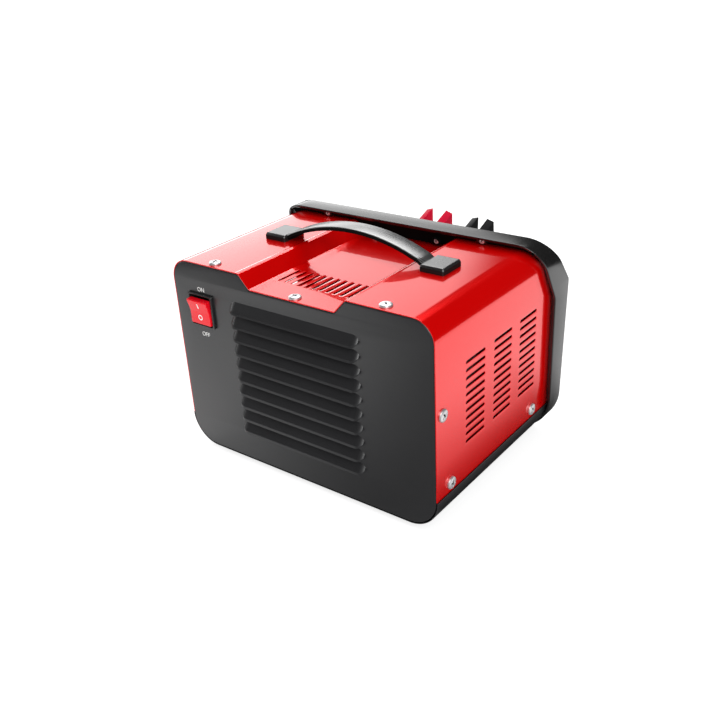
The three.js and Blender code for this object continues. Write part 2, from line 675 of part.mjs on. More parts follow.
const windowPane = alongY(windowOutline, -METER.depth + 0.1, -METER.depth + 1.6 - GAP);
add('ammeter_window', closed(windowPane), CLEAR, { into: meterGroup });

// Selector: a body behind the panel whose shaft carries the knob.
const selectorBody = join([
  solid(box([-13, 13], [-13, 13], [-SHEET - GAP - 18, -SHEET - GAP])),
  solid(rod(3, -SHEET - GAP - 1, 11, 12)),
]);
add('selector_body', skin(selectorBody), BLACK_PLASTIC, { at: onPanel(SELECTOR), turn: facingFront });
const knob = cut(join([
  solid(turned([[0, 1], [12.5, 1], [12.5, 3], [10.5, 4.2], [9.8, 10], [0, 10]], 20)),
  solid(alongZ(rounded([[-3.2, -9.5], [3.2, -9.5], [1.6, 12], [-1.6, 12]], 2), 4, 15.5)),
]), [solid(rod(3 + GAP, 0, 11 + GAP, 12))]);
add('selector_knob', skin(knob), BLACK_PLASTIC, { at: onPanel(SELECTOR), turn: facingFront });

const lens = turned([
  [0, -8], [4, -8], [4, GAP], [5.6, GAP], [5.6, 1.4], [4.6, 2.2], [4, 4.2], [2.4, 5.6], [0, 6.1],
], 14);
add('lamp_lens_charging', lens, LENS_RED, { at: onPanel(LAMPS.charging), turn: facingFront });
add('lamp_lens_charged', lens, LENS_GREEN, { at: onPanel(LAMPS.charged), turn: facingFront });

const fuse = cut(
  solid(turned([[0, -26], [6, -26], [6, GAP], [9.5, GAP], [9.5, 3], [7.6, 3.4], [7.2, 12], [0, 12]], 18)),
  [solid(box([-6, 6], [-0.8, 0.8], [10.4, 14]))],
);
add('fuse_cap', skin(fuse), BLACK_PLASTIC, { at: onPanel(FUSE), turn: facingFront });

// Cable gland: a flanged bush with a clear bore.
function gland(bore) {
  return turned([
    [bore, -9], [7, -9], [7, GAP], [10, GAP], [10, 2.4], [8.4, 3], [7.2, 9], [bore, 9], [bore, -9],
  ], 14);
}
add('mains_gland', gland(3.6), BLACK_RUBBER, { at: onPanel(MAINS_GLAND), turn: facingFront });
add('lead_gland_red', gland(4.2), BLACK_RUBBER, { at: onPanel(LEAD_GLANDS.red), turn: facingFront });
add('lead_gland_black', gland(4.2), BLACK_RUBBER, { at: onPanel(LEAD_GLANDS.black), turn: facingFront });

// ---- clamps -----------------------------------------------------------------------------------

// One half of a clamp about its pivot (y axis), on the +X side, handle up and jaw down.
// The cheeks reach over the pivot at `cheek` from the middle. The handle's end is cut at a slope,
// highest at its inner corner on the `front` side of y.
function clampHalf(cheek, front) {
  const [inner, outer] = CLAMP_HANDLE;
  const lever = solid(alongY(rounded([
    [outer, CLAMP_TOP + 4], [outer, 20, 3], [9.7, 12, 3], [9.7, -12], [9.4, -24], [9.4, -41, 3],
    [2.6, -52, 0.6], [1.7, -52], [0.6, -51], [1.8, -50], [0.6, -49], [1.8, -48], [0.6, -47], [2.4, -46],
    [6.8, -40.5, 2], [6.8, -25, 2], [7, -12], [7, 12], [inner, 20], [inner, CLAMP_TOP + 4],
  ], 3), -CLAMP_HALF, CLAMP_HALF));
  const side = solid(alongX([
    [-7, -53], [7, -53], [7, -20], [CLAMP_HALF, -14], [CLAMP_HALF, CLAMP_TOP + 4],
    [-CLAMP_HALF, CLAMP_TOP + 4], [-CLAMP_HALF, -14], [-7, -20],
  ], -2, 15));
  const belowEnd = solid(box([-150, 150], [-150, 150], [-200, 0]))
    .rotate([front * CLAMP_END_SLOPE.along, CLAMP_END_SLOPE.across, 0])
    .translate([inner, front * CLAMP_HALF, CLAMP_TOP]);
  const cheeks = [1, -1].map((end) => {
    const y = [end * cheek, end * (cheek + 1.5)].sort((p, q) => p - q);
    return solid(alongY(rounded([[8, -7.5], [8, 7.5], [-3, 5.4, 4.6], [-3, -5.4, 4.6]], 3), y[0], y[1]));
  });
  const bore = solid(rod(2 + GAP, -20, 20, 12).rotateX(Math.PI / 2));
  return skin(cut(join([lever.intersect(side).intersect(belowEnd), ...cheeks]), [bore]));
}

// Torsion spring on the clamp's pin: one wire wound along a helix.
const COIL = { radius: 3.6, wire: 0.75, turns: 5, pitch: 1.95, perTurn: 8, sides: 5 };
function helixPoint(t) {
  const angle = t * Math.PI * 2;
  const y = (t - COIL.turns / 2) * COIL.pitch;
  return new THREE.Vector3(COIL.radius * Math.cos(angle), y, COIL.radius * Math.sin(angle));
}
function springGeometry() {
  const steps = COIL.turns * COIL.perTurn;
  const positions = [];
  const index = [];
  for (let i = 0; i <= steps; i += 1) {
    const t = i / COIL.perTurn;
    const centre = helixPoint(t);
    const out = new THREE.Vector3(centre.x, 0, centre.z).normalize();
    const along = helixPoint(t + 0.01).sub(helixPoint(t - 0.01)).normalize();
    const across = new THREE.Vector3().crossVectors(along, out);
    for (let s = 0; s < COIL.sides; s += 1) {
      const angle = (s / COIL.sides) * Math.PI * 2;
      const point = centre.clone()
        .addScaledVector(out, COIL.wire * Math.cos(angle))
        .addScaledVector(across, COIL.wire * Math.sin(angle));
      positions.push(point.x, point.y, point.z);
    }
  }
  const ring = (i, s) => i * COIL.sides + (s % COIL.sides);
  for (let i = 0; i < steps; i += 1) {
    for (let s = 0; s < COIL.sides; s += 1) {
      index.push(ring(i, s), ring(i + 1, s), ring(i + 1, s + 1));
      index.push(ring(i, s), ring(i + 1, s + 1), ring(i, s + 1));
    }
  }
  for (let s = 1; s < COIL.sides - 1; s += 1) {
    index.push(ring(0, 0), ring(0, s), ring(0, s + 1));
    index.push(ring(steps, 0), ring(steps, s + 1), ring(steps, s));
  }
  const geometry = new THREE.BufferGeometry();
  geometry.setAttribute('position', new THREE.Float32BufferAttribute(positions, 3));
  geometry.setIndex(index);
  return closed(geometry);
}
function leastCoilGap() {
  let least = Infinity;
  for (let i = 0; i <= COIL.turns * 40; i += 1) {
    for (let j = i + 30; j <= COIL.turns * 40; j += 1) {
      least = Math.min(least, helixPoint(i / 40).distanceTo(helixPoint(j / 40)) - 2 * COIL.wire);
    }
  }
  return least;
}
console.log(`clamp spring: least gap between turns ${leastCoilGap().toFixed(2)} mm`);

const outerCheek = 8.1;
const innerCheek = 6.2;
const pinShape = skin(join([
  solid(rod(2, -10.2, 10.2, 14)),
  solid(turned([[0, 9.9], [3.4, 9.9], [3.4, 10.6], [2.2, 11.4], [0, 11.4]], 14)),
  solid(turned([[0, -11.2], [3, -11.2], [3, -9.9], [0, -9.9]], 14)),
]));
Object.entries(CLAMPS).forEach(([colour, clamp]) => {
  const look = colour === 'red' ? RED_PLASTIC : BLACK_PLASTIC;
  const pivot = new THREE.Group();
  pivot.position.set(clamp.x, CLAMP_Y, clamp.z);
  caseGroup.add(pivot);
  const [fixed, moving] = [clampHalf(outerCheek, -1), clampHalf(innerCheek, 1)];
  add(`clamp_${colour}_fixed`, fixed, look, { into: pivot, turn: [0, -clamp.tilt, 0] });
  add(`clamp_${colour}_moving`, moving, look, { into: pivot, turn: [0, clamp.tilt, Math.PI] });
  add(`clamp_${colour}_pin`, pinShape, BRIGHT_STEEL, { into: pivot, turn: [Math.PI / 2, 0, 0] });
  add(`clamp_${colour}_spring`, springGeometry(), BRIGHT_STEEL, { into: pivot });
  // The post's foot passes through the panel and its bar lies between the jaws.
  add(`parking_post_${colour}`, turned([
    [0, -6], [3, -6], [3, GAP], [clamp.post + 2, GAP], [clamp.post + 2, 2],
    [clamp.post, 2.6], [clamp.post, 24], [0, 24],
  ], 16), BLACK_PLASTIC, { at: onPanel([clamp.x, clamp.z - POST_DROP]), turn: facingFront });
});

// ---- transformer and rectifier ------------------------------------------------------------------

const coreX = [CORE.x - CORE.width / 2, CORE.x + CORE.width / 2];
const coreY = [CORE.y - CORE.depth / 2, CORE.y + CORE.depth / 2];
const coreTop = CORE.low + CORE.height;
const windowZ = [CORE.low + CORE.yoke, coreTop - CORE.yoke];
const core = cut(solid(box(coreX, coreY, [CORE.low, coreTop])), [
  solid(box([coreX[0] + CORE.yoke, CORE.x - CORE.leg / 2], [coreY[0] - 5, coreY[1] + 5], windowZ)),
  solid(box([CORE.x + CORE.leg / 2, coreX[1] - CORE.yoke], [coreY[0] - 5, coreY[1] + 5], windowZ)),
]);
add('transformer_core', skin(core), IRON);

function winding(low, high) {
  const inner = rectangle(CORE.x, CORE.y, CORE.leg + 2 * GAP, CORE.depth + 2 * GAP, 0, 1);
  const outer = rectangle(CORE.x, CORE.y, CORE.leg + 2 * WINDING_BUILD, CORE.depth + 2 * WINDING_BUILD, 9, 3);
  return skin(solid(alongZ(outer, low, high)).subtract(solid(alongZ(inner, low - 1, high + 1))));
}
const windingMiddle = (windowZ[0] + windowZ[1]) / 2;
add('primary_winding', winding(windowZ[0] + GAP, windingMiddle - 1), COPPER);
add('secondary_winding', winding(windingMiddle + 1, windowZ[1] - GAP), COPPER);

const bracketFloor = SHEET + GAP;
add('transformer_bracket', skin(join([
  solid(box([coreX[0] - 7, coreX[1] + 7], coreY, [bracketFloor, CORE.low - GAP])),
  solid(box([coreX[0] - GAP - 2.5, coreX[0] - GAP], coreY, [bracketFloor, CORE.low + 30])),
  solid(box([coreX[1] + GAP, coreX[1] + GAP + 2.5], coreY, [bracketFloor, CORE.low + 30])),
])), ALUMINIUM);

const rectifier = join([
  solid(box([RECTIFIER_X, RECTIFIER_X + 3], [-128, -48], [bracketFloor, 100])),
  solid(box([RECTIFIER_X, RECTIFIER_X + 26], [-128, -48], [bracketFloor, bracketFloor + 3])),
]);
const diodeSpots = { rear: [-68, 66], front: [-106, 66] };
const diodeHoles = Object.values(diodeSpots)
  .map(([y, z]) => solid(rod(3 + GAP, -20, 20, 12).rotateY(Math.PI / 2).translate(RECTIFIER_X, y, z)));
add('rectifier_plate', skin(cut(rectifier, diodeHoles)), ALUMINIUM);
const diode = turned([
  [0, -9], [3, -9], [3, GAP], [11, GAP], [11, 5], [8, 6], [8, 10], [2.2, 12], [2.2, 24], [0, 24],
], 16);
Object.entries(diodeSpots).forEach(([name, [y, z]]) => {
  add(`diode_${name}`, diode, BRIGHT_STEEL, { at: [RECTIFIER_X + 3, y, z], turn: [0, Math.PI / 2, 0] });
});

const blockRibs = [-20, -7, 6, 19].map((y) => solid(box([78, 96], [y - 51, y - 49], [14, 22])));
add('terminal_block', skin(join([
  solid(box([78, 96], [-74, -28], [bracketFloor, 14.5])),
  ...blockRibs,
])), DIAL_WHITE);
add('thermal_breaker', skin(join([
  solid(box([78, 96], [-122, -92], [bracketFloor, 22])),
  solid(rod(4, 21, 27, 14).translate(87, -107, 0)),
])), BLACK_PLASTIC);

export default charger;
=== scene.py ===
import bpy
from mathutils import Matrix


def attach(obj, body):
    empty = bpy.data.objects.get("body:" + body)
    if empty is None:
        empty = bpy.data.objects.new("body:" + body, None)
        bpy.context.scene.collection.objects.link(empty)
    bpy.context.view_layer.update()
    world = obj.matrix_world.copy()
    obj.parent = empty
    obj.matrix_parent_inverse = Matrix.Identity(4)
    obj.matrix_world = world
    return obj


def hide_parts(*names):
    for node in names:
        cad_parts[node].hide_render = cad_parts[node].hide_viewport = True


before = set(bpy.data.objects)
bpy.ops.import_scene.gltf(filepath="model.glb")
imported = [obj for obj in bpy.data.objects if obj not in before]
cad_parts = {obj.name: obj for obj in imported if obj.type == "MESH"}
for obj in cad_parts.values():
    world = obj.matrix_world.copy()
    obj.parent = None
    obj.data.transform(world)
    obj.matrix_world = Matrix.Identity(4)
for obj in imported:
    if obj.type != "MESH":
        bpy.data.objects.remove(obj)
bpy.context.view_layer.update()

import math

import bmesh
import bpy
import numpy as np
from mathutils import Matrix, Vector
from mathutils.geometry import tessellate_polygon

# Millimetres about the case: y = 0 is the rear face, z = 0 the underside of the pan. SHIFT takes a point
# to the part's own origin, and METRE is how many millimetres make one of the scene's units.
METRE = 1000.0
SHIFT = np.array([0.0, 90.9, 6.0])
HALF, TOP, PAN_TOP, COVER_LOW = 122.5, 165.0, 24.9, 25.3
SHEET, EDGE_SHEET, GAP = 1.5, 0.7, 0.3
TOP_RADIUS, BASE_RADIUS, LIP_RADIUS, NOOK_RADIUS = 17.0, 24.5, 3.5, 2.0
TROUGH_HALF, TROUGH_FLOOR_HALF, TROUGH_DEPTH = 50.0, 40.0, 11.0
BEAD_HEIGHT, BEAD_PLACE, BEAD_SPREAD, BEAD_REACH = 0.2, 1.9, 0.8, 4.6
SLOT_CENTRES, SLOT_LENGTH, SLOT_HEIGHT = (-52.65, -92.15, -131.35), 26.7, 2.8
SLOT_ROWS, SLOT_LOW, SLOT_PITCH, SLOT_CELL = 11, 55.4, 6.38, 15.5
VENTS, VENT_PITCH, VENT_Y, VENT_LENGTH, VENT_WIDTH, VENT_CELL = 11, 6.6, -38.0, 25.0, 3.0, 14.5
FRAME_HALF, FRAME_LOW, FRAME_TOP = 128.0, -2.5, 171.5
FRAME_TOP_RADIUS, FRAME_BASE_RADIUS = 22.0, 34.0
FRAME_WALL, INTO_FRAME, RECESS_DEPTH, RECESS_RIM = 6.5, 4.5, 4.0, 2.0
TRAY_HALF, TRAY_LOW, TRAY_TOP, TRAY_RADIUS = 117.2, 8.0, 167.0, 17.0
SLEEVE_OUTER, SLEEVE_INNER, SLEEVE_END = 3.3, 6.9, 7.7
REAR_EDGE = ((-166.0, -40.0), (-166.0, 122.0, 3.0), (-137.5, 171.5), (-109.6, 220.0))
COVER_FRONT = REAR_EDGE[0][0] - INTO_FRAME
FRONT_EDGE = ((-179.7, -40.0), (-189.5, 131.0, 3.0), (-157.0, 171.5), (-118.1, 220.0))
FRAME_SCREWS = {"outer": (76.0, 168.3, -141.3), "inner": (31.0, 159.0, -146.8)}
BOSS_RADIUS, BOSS_WELL = 4.0, 2.7
LIPS, LOUVRE_HALF, LOUVRE_END, LOUVRE_HEIGHT = [27.6 + 11.6 * i for i in range(10)], 61.0, 6.0, 9.0
STRAP_HALF, STRAP_Y, STRAP_RADIUS, STRAP_CROWN, STRAP_FOOT = 78.0, -82.5, 147.0, 183.85, 167.15
STRAP_ARC_HALF, STRAP_EASE, STRAP_WIDTH_HALF, STRAP_THICK_HALF = 60.0, 11.0, 8.5, 1.75
CAP_X, CAP_WIDTH, CAP_LENGTH, CAP_RADIUS = 75.0, 21.0, 25.0, 1.6
CASE_SCREW, FRAME_SCREW = (4.9, 2.2), (2.4, 1.7)
BEZEL, BEZEL_RADIUS, WELL, WELL_RADIUS = (26.4, 27.8), 1.6, (22.2, 24.9), 0.8
SWITCH_OPENING = (12.3, 13.2)
PANEL_Y = -158.0
REAR_SWITCH, FRONT_SWITCH = (93.3, 0.0, 126.25), (92.0, PANEL_Y, 34.0)
METER_X, METER_Z, METER_Y, METER_SWING = 66.0, 71.0, PANEL_Y - 7.0 - 1.1 - 0.06, 42.0
CLAMP_Y = -172.0
CLAMPS = {"red": (-11.6, 105.0), "black": (-53.2, 103.5)}
SLEEVE_START = 16.0

# Where a flat part's own right, up and outward axes point once it faces a side of the case.
FACING_REAR = np.array([(-1, 0, 0), (0, 0, 1), (0, 1, 0)]).T
FACING_FRONT = np.array([(1, 0, 0), (0, 0, 1), (0, -1, 0)]).T
FACING_LEFT = np.array([(0, 1, 0), (0, 0, 1), (1, 0, 0)]).T
FACING_RIGHT = np.array([(0, -1, 0), (0, 0, 1), (-1, 0, 0)]).T


# ---- shapes ----


def rounded(corners, steps):
    """A line through corners (a, b, radius), with each corner that has a radius turned into an arc
    about the point where the two sides, moved inwards by the radius, cross. Points are a + bi here."""
    places = [complex(*corner[:2]) for corner in corners]
    out = []
    for i, corner in enumerate(places):
        radius = corners[i][2] if len(corners[i]) > 2 else 0.0
        if radius <= 0:
            out.append([corner])
            continue
        back, ahead = places[i - 1] - corner, places[(i + 1) % len(places)] - corner
        back, ahead = back / abs(back), ahead / abs(ahead)
        half = math.acos(max(-1.0, min(1.0, (back * ahead.conjugate()).real))) / 2
        centre = corner + (back + ahead) / abs(back + ahead) * radius / math.sin(half)
        start, end = (corner + side * radius / math.tan(half) - centre for side in (back, ahead))
        out.append(centre + start * np.exp(1j * np.linspace(0.0, np.angle(end / start), steps + 1)))
    line = np.concatenate(out)
    return np.stack([line.real, line.imag], -1)


def quads(rows, columns, around=False):
    """Faces of a grid of points numbered row by row; around joins the last column to the first."""
    row = np.arange(rows - 1)[:, None]
    column = np.arange(columns if around else columns - 1)[None, :]
    a = row * columns + column
    b = row * columns + (column + 1) % columns
    return np.stack([a, b, b + columns, a + columns], -1).reshape(-1, 4)


def stacked(rings, around=True):
    """Faces between each ring of points and the next, as one grid with a row for every ring."""
    rings = np.asarray(rings, float)
    return rings.reshape(-1, 3), quads(rings.shape[0], rings.shape[1], around)


def middle_of(ring):
    """A ring with as many points, all at the ring's middle: stacked next to it, it closes the end."""
    return np.tile(np.mean(ring, 0), (len(ring), 1))


def closed(rings):
    """Rings with both ends closed."""
    return stacked([middle_of(rings[0]), *rings, middle_of(rings[-1])])


def level_ring(ring, level):
    """A ring of (x, y) points at one level."""
    return np.column_stack([ring, np.full(len(ring), level)])


def listed(faces):
    """Faces as plain lists."""
    return faces.tolist() if isinstance(faces, np.ndarray) else faces


def joined(*parts):
    """Several (points, faces) as one, with each part's face numbers moved past the points before it."""
    points, faces, start = [], [], 0
    for part_points, part_faces in parts:
        points.append(part_points)
        faces += [[number + start for number in face] for face in listed(part_faces)]
        start += len(part_points)
    return np.concatenate(points), faces


def moved(part, by, turn=None):
    """A part's points turned by a 3 x 3 matrix and then shifted."""
    points, faces = part
    if turn is not None:
        points = points @ turn.T
    return points + np.array(by, float), faces


def turned(profile, sides=48):
    """A profile of (radius, z, rounding) corners, eased by small arcs and carried round the z axis."""
    profile = rounded(profile, 4)
    angle = np.linspace(0.0, 2 * np.pi, sides, endpoint=False)
    circle = np.stack([np.cos(angle), np.sin(angle)], -1)
    return stacked([level_ring(radius * circle, z) for radius, z in profile])


def rectangle(width, height, radius, inset, level, steps):
    """A rounded rectangle at a level, drawn in by the inset, its corner radius kept above a tenth."""
    w, h, r = width / 2 - inset, height / 2 - inset, max(radius - inset, 0.1)
    return level_ring(rounded([(w, -h, r), (w, h, r), (-w, h, r), (-w, -h, r)], steps), level)


def case_outline(inset, steps):
    """The case's closed outline in x and z, moved inwards by the inset, trough included."""
    run = TROUGH_HALF - TROUGH_FLOOR_HALF
    wall = math.hypot(run, TROUGH_DEPTH)
    spread = inset * (1 - run / wall) / (TROUGH_DEPTH / wall)
    half, top = HALF - inset, TOP - inset
    lip, nook = max(LIP_RADIUS - inset, 0.3), max(NOOK_RADIUS + inset, 0.3)
    floor = top - TROUGH_DEPTH
    right = [(half, inset, BASE_RADIUS - inset), (half, top, TOP_RADIUS - inset),
             (TROUGH_HALF + spread, top, lip), (TROUGH_FLOOR_HALF + spread, floor, nook)]
    return rounded(right + [(-x, z, radius) for x, z, radius in right[::-1]], steps)


def edge_y(edge, z, dy=0.0):
    """The depth of a frame edge at height z: two straight runs eased into each other at the kink."""
    line = rounded(edge, 8)
    return np.interp(z, line[:, 1], line[:, 0]) + dy


def at_depth(ring, y):
    """A ring of (x, z) points at a depth, or with a depth for each point."""
    return np.column_stack([ring[:, 0], np.broadcast_to(y, len(ring)), ring[:, 1]])


def on_edge(ring, edge, dy):
    """A ring of (x, z) points laid on a frame edge, moved along y by dy."""
    return at_depth(ring, edge_y(edge, ring[:, 1], dy))


def perimeter(half, low, top, top_radius, low_radius, notch=None):
    """A loop round the case: along the base, up the right, back along the top and down the left, always
    with as many points in each run, so that loops of different sizes pair up, and closer together at the
    frame's kink and the trough's walls. The top run follows the notch line where one is given."""
    arc = np.linspace(0.0, np.pi / 2, 15)
    side = np.concatenate([np.linspace(0.0, 0.72, 10), np.linspace(0.74, 0.9, 14), np.linspace(0.92, 1.0, 4)])
    side_z = low + low_radius + side * ((top - top_radius) - (low + low_radius))
    walls = [np.linspace(-0.50, -0.36, 15), np.linspace(0.36, 0.50, 15)]
    run = np.unique(np.concatenate([np.linspace(-1, 1, 33), *walls]))[::-1]
    top_x = run * (half - top_radius)
    top_z = np.full(len(run), float(top)) if notch is None else np.interp(top_x, notch[:, 0], notch[:, 1])
    base_x = np.linspace(-1, 1, 21) * (half - low_radius)

    def corner(z, radius, start):
        way = np.stack([np.cos(start + arc), np.sin(start + arc)], -1)[1:-1]
        return (half - radius, z) + radius * way

    right = np.concatenate([corner(low + low_radius, low_radius, -np.pi / 2),
                            np.stack([np.full(len(side_z), half), side_z], -1),
                            corner(top - top_radius, top_radius, 0)])
    base = np.stack([base_x, np.full(len(base_x), float(low))], -1)
    return np.concatenate([base, right, np.stack([top_x, top_z], -1), right[::-1] * (-1, 1)])


def case_loop(inset):
    """The perimeter loop of the case's own outline at an inset, with the trough as its notch."""
    line = case_outline(inset, 12)
    above = line[line[:, 1] > TOP / 2]
    above = above[np.argsort(above[:, 0], kind="stable")]
    return perimeter(HALF - inset, inset, TOP - inset, TOP_RADIUS - inset, BASE_RADIUS - inset, above)


def hole_ring(a, b, length, width):
    """Where a point (a, b) on the border of a unit square cell goes on a slot with half-round ends: the
    outer quarters of each long side and the short sides go round the ends, the middle halves stay
    straight."""
    reach = length / 2 - width / 2
    long_side = np.abs(b) >= 1 - 1e-9
    turn = np.where(long_side, np.clip((np.abs(a) - 0.5) / 0.5, 0, 1), 2 - np.abs(b)) * np.pi / 4
    side = np.sign(b) + (b == 0)
    straight = long_side & (np.abs(a) < 0.5)
    x = np.where(straight, a / 0.5 * reach, np.sign(a) * (reach + width / 2 * np.sin(turn)))
    z = np.where(straight, side * width / 2, side * width / 2 * np.cos(turn))
    return x, np.where(np.abs(b) < 1e-9, 0.0, z)


def pierced(surface, s_lines, t_lines, cells):
    """A grid of surface(s, t) points in which each cell (s0, s1, t0, t1, hole) is opened: the grid faces
    inside it go, and a ring of faces joins the cell's border points to the hole's own outline."""
    rows, columns = len(s_lines), len(t_lines)
    s_grid, t_grid = np.meshgrid(s_lines, t_lines, indexing="ij")
    points = [surface(s_grid.ravel(), t_grid.ravel())]
    keep = np.ones((rows - 1, columns - 1), bool)
    rings, start = [], rows * columns
    for s0, s1, t0, t1, hole in cells:
        i0, i1 = (int(np.abs(s_lines - v).argmin()) for v in (s0, s1))
        j0, j1 = (int(np.abs(t_lines - v).argmin()) for v in (t0, t1))
        keep[i0:i1, j0:j1] = False
        wide, tall = j1 - j0, i1 - i0
        i = np.concatenate([np.full(wide, i0), np.arange(i0, i1), np.full(wide, i1), np.arange(i1, i0, -1)])
        j = np.concatenate([np.arange(j0, j1), np.full(tall, j1), np.arange(j1, j0, -1), np.full(tall, j0)])
        s_middle, t_middle = (s0 + s1) / 2, (t0 + t1) / 2
        ds, dt = hole((s_lines[i] - s_middle) / ((s1 - s0) / 2), (t_lines[j] - t_middle) / ((t1 - t0) / 2))
        points.append(surface(s_middle + ds, t_middle + dt))
        outer, inner = i * columns + j, start + np.arange(len(i))
        rings.append(np.stack([outer, np.roll(outer, -1), np.roll(inner, -1), inner], -1))
        start += len(i)
    faces = quads(rows, columns).reshape(rows - 1, columns - 1, 4)[keep]
    return np.concatenate(points), np.concatenate([faces, *rings])


def lines(*pieces):
    """Sorted grid lines with near doubles dropped."""
    line = np.unique(np.round(np.concatenate([np.atleast_1d(p) for p in pieces]), 4))
    return line[np.concatenate([[True], np.diff(line) > 0.02])]


# ---- finishes ----


class Value:
    """A shader socket that can be used in an expression, which adds Math nodes."""

    def __init__(self, finish, socket):
        self.finish, self.socket = finish, socket

    def _math(operation, swapped=False):
        def node(self, other=0.0):
            first, second = (other, self) if swapped else (self, other)
            return self.finish.add("ShaderNodeMath", {"operation": operation}, {0: first, 1: second})
        return node

    __add__, __radd__, __mul__ = _math("ADD"), _math("ADD", True), _math("MULTIPLY")
    __sub__, __rsub__ = _math("SUBTRACT"), _math("SUBTRACT", True)
    __lt__, __gt__, most = _math("LESS_THAN"), _math("GREATER_THAN"), _math("MAXIMUM")
    abs, root, sine = _math("ABSOLUTE"), _math("SQRT"), _math("SINE")

    def wave(self, pitch):
        """The sine of the value, one turn for every pitch."""
        return (self * (2 * math.pi / pitch)).sine()

    def step(self, low, high):
        """0 below low and 1 above high, smooth between them."""
        return self.finish.add("ShaderNodeMapRange", {"interpolation_type": "SMOOTHSTEP"},
                               {"Value": self, "From Min": low, "From Max": high})


class Finish:
    """One material: its slot, its node tree, its shader, and the ways to add nodes to it."""

    def __init__(self, name, slot, color, roughness, metallic=0.0, **constants):
        self.slot = slot
        self.material = bpy.data.materials.new(name)
        self.material.use_nodes = True
        self.tree = self.material.node_tree
        self.shader = self.tree.nodes["Principled BSDF"]
        constants = {"Base Color": (*color, 1), "Roughness": roughness, "Metallic": metallic, **constants}
        for socket, value in constants.items():
            self.shader.inputs[socket].default_value = value
        self.place = self.add("ShaderNodeTexCoord", output="Object")

    @classmethod
    def of_tree(cls, tree):
        """Node making in a tree that has no shader of its own here, such as the world's."""
        finish = cls.__new__(cls)
        finish.tree = tree
        return finish

    def feed(self, socket, value):
        """Links a Value to a socket, or sets anything else on it."""
        if isinstance(value, Value):
            self.tree.links.new(value.socket, socket)
        else:
            socket.default_value = value

    def add(self, kind, settings=None, inputs=None, output=0):
        """Adds a node, sets its settings, then gives its sockets values or links."""
        node = self.tree.nodes.new(kind)
        for key, value in (settings or {}).items():
            setattr(node, key, value)
        for key, value in (inputs or {}).items():
            self.feed(node.inputs[key], value)
        return Value(self, node.outputs[output])

    def rays(self):
        """1 for a camera, a mirror and a see-through ray, in that order."""
        path = self.tree.nodes.new("ShaderNodeLightPath")
        return [Value(self, path.outputs[f"Is {ray} Ray"]) for ray in ("Camera", "Glossy", "Transmission")]

    def noise(self, size, detail=4.0, roughness=0.55, stretch=None):
        """Noise whose features are about `size` millimetres; stretch scales the place along each axis."""
        place = self.place
        if stretch is not None:
            place = self.add("ShaderNodeMapping", {}, {"Vector": place, "Scale": stretch})
        return self.add("ShaderNodeTexNoise", {}, {"Vector": place, "Scale": METRE / size, "Detail": detail,
                                                   "Roughness": roughness}, "Fac")

    def axes(self):
        """The place's x, y and z, in millimetres."""
        parts = self.tree.nodes.new("ShaderNodeSeparateXYZ")
        self.feed(parts.inputs[0], self.place)
        return [Value(self, out) * METRE for out in parts.outputs]

    def blend(self, first, second, amount):
        """Mixes two colours by an amount from 0 to 1."""
        first, second = (c if isinstance(c, Value) else (*c, 1) for c in (first, second))
        return self.add("ShaderNodeMix", {"data_type": "RGBA"}, {0: amount, 6: first, 7: second}, 2)

    def drive(self, socket, value):
        self.feed(self.shader.inputs[socket], value)

    def colour(self, first, second, amount):
        """Drives the base colour with a mix of two colours."""
        self.drive("Base Color", self.blend(first, second, amount))

    def upward(self):
        """1 where the surface faces up and 0 where it faces sideways or down."""
        normal = self.add("ShaderNodeTexCoord", output="Normal")
        return self.add("ShaderNodeSeparateXYZ", {}, {0: normal}, 2).step(0.25, 0.7)

    def matt(self, color, amount):
        """Gives way to a plain matt surface of a colour by an amount from 0 to 1."""
        dull = self.add("ShaderNodeBsdfDiffuse", {}, {"Color": (*color, 1)})
        shiny = Value(self, self.shader.outputs[0])
        both = self.add("ShaderNodeMixShader", {}, {0: amount, 1: shiny, 2: dull})
        self.feed(self.tree.nodes["Material Output"].inputs["Surface"], both)

    def relief(self, height, depth):
        """A bump whose height of 1 stands `depth` millimetres proud. Gives the finish back."""
        bump = {"Height": height, "Distance": depth / METRE, "Strength": 1.0}
        self.drive("Normal", self.add("ShaderNodeBump", {}, bump))
        return self


def times(color, factor):
    """A colour made lighter or darker, kept below white."""
    return tuple(min(c * factor, 1.0) for c in color)


def painted_red():
    """Candy enamel: red over a metallic ground, so half of its mirror image is red and the hard clear
    coat adds the white half, with a faint orange peel and a slow change of tone."""
    coat = {"Specular IOR Level": 0.05, "Coat Weight": 1.0, "Coat Roughness": 0.02, "Coat IOR": 1.55}
    f = Finish("red_enamel", "red_paint", (0.85, 0.001, 0.001), 0.2, 0.4, **coat)
    cloud, peel = f.noise(70, 3), f.noise(3.2, 2, 0.4)
    f.colour((0.84, 0.0006, 0.0006), (0.91, 0.0016, 0.0014), cloud * 0.8 + peel * 0.2)
    f.drive("Roughness", 0.17 + cloud * 0.05 + peel * 0.03)
    return f.relief(peel, 0.003)


def powder_black():
    """Satin powder coat: near black, pebbled finer than a millimetre, slightly uneven in sheen."""
    f = Finish("black_powder_coat", "black_paint", (0.016, 0.016, 0.017), 0.34, IOR=1.7)
    pebble, cloud = f.noise(0.55, 3, 0.6), f.noise(60, 3)
    f.colour((0.012, 0.012, 0.013), (0.021, 0.021, 0.023), cloud * 0.6 + pebble * 0.4)
    f.drive("Roughness", 0.29 + cloud * 0.06 + pebble * 0.07)
    return f.relief(pebble, 0.015)


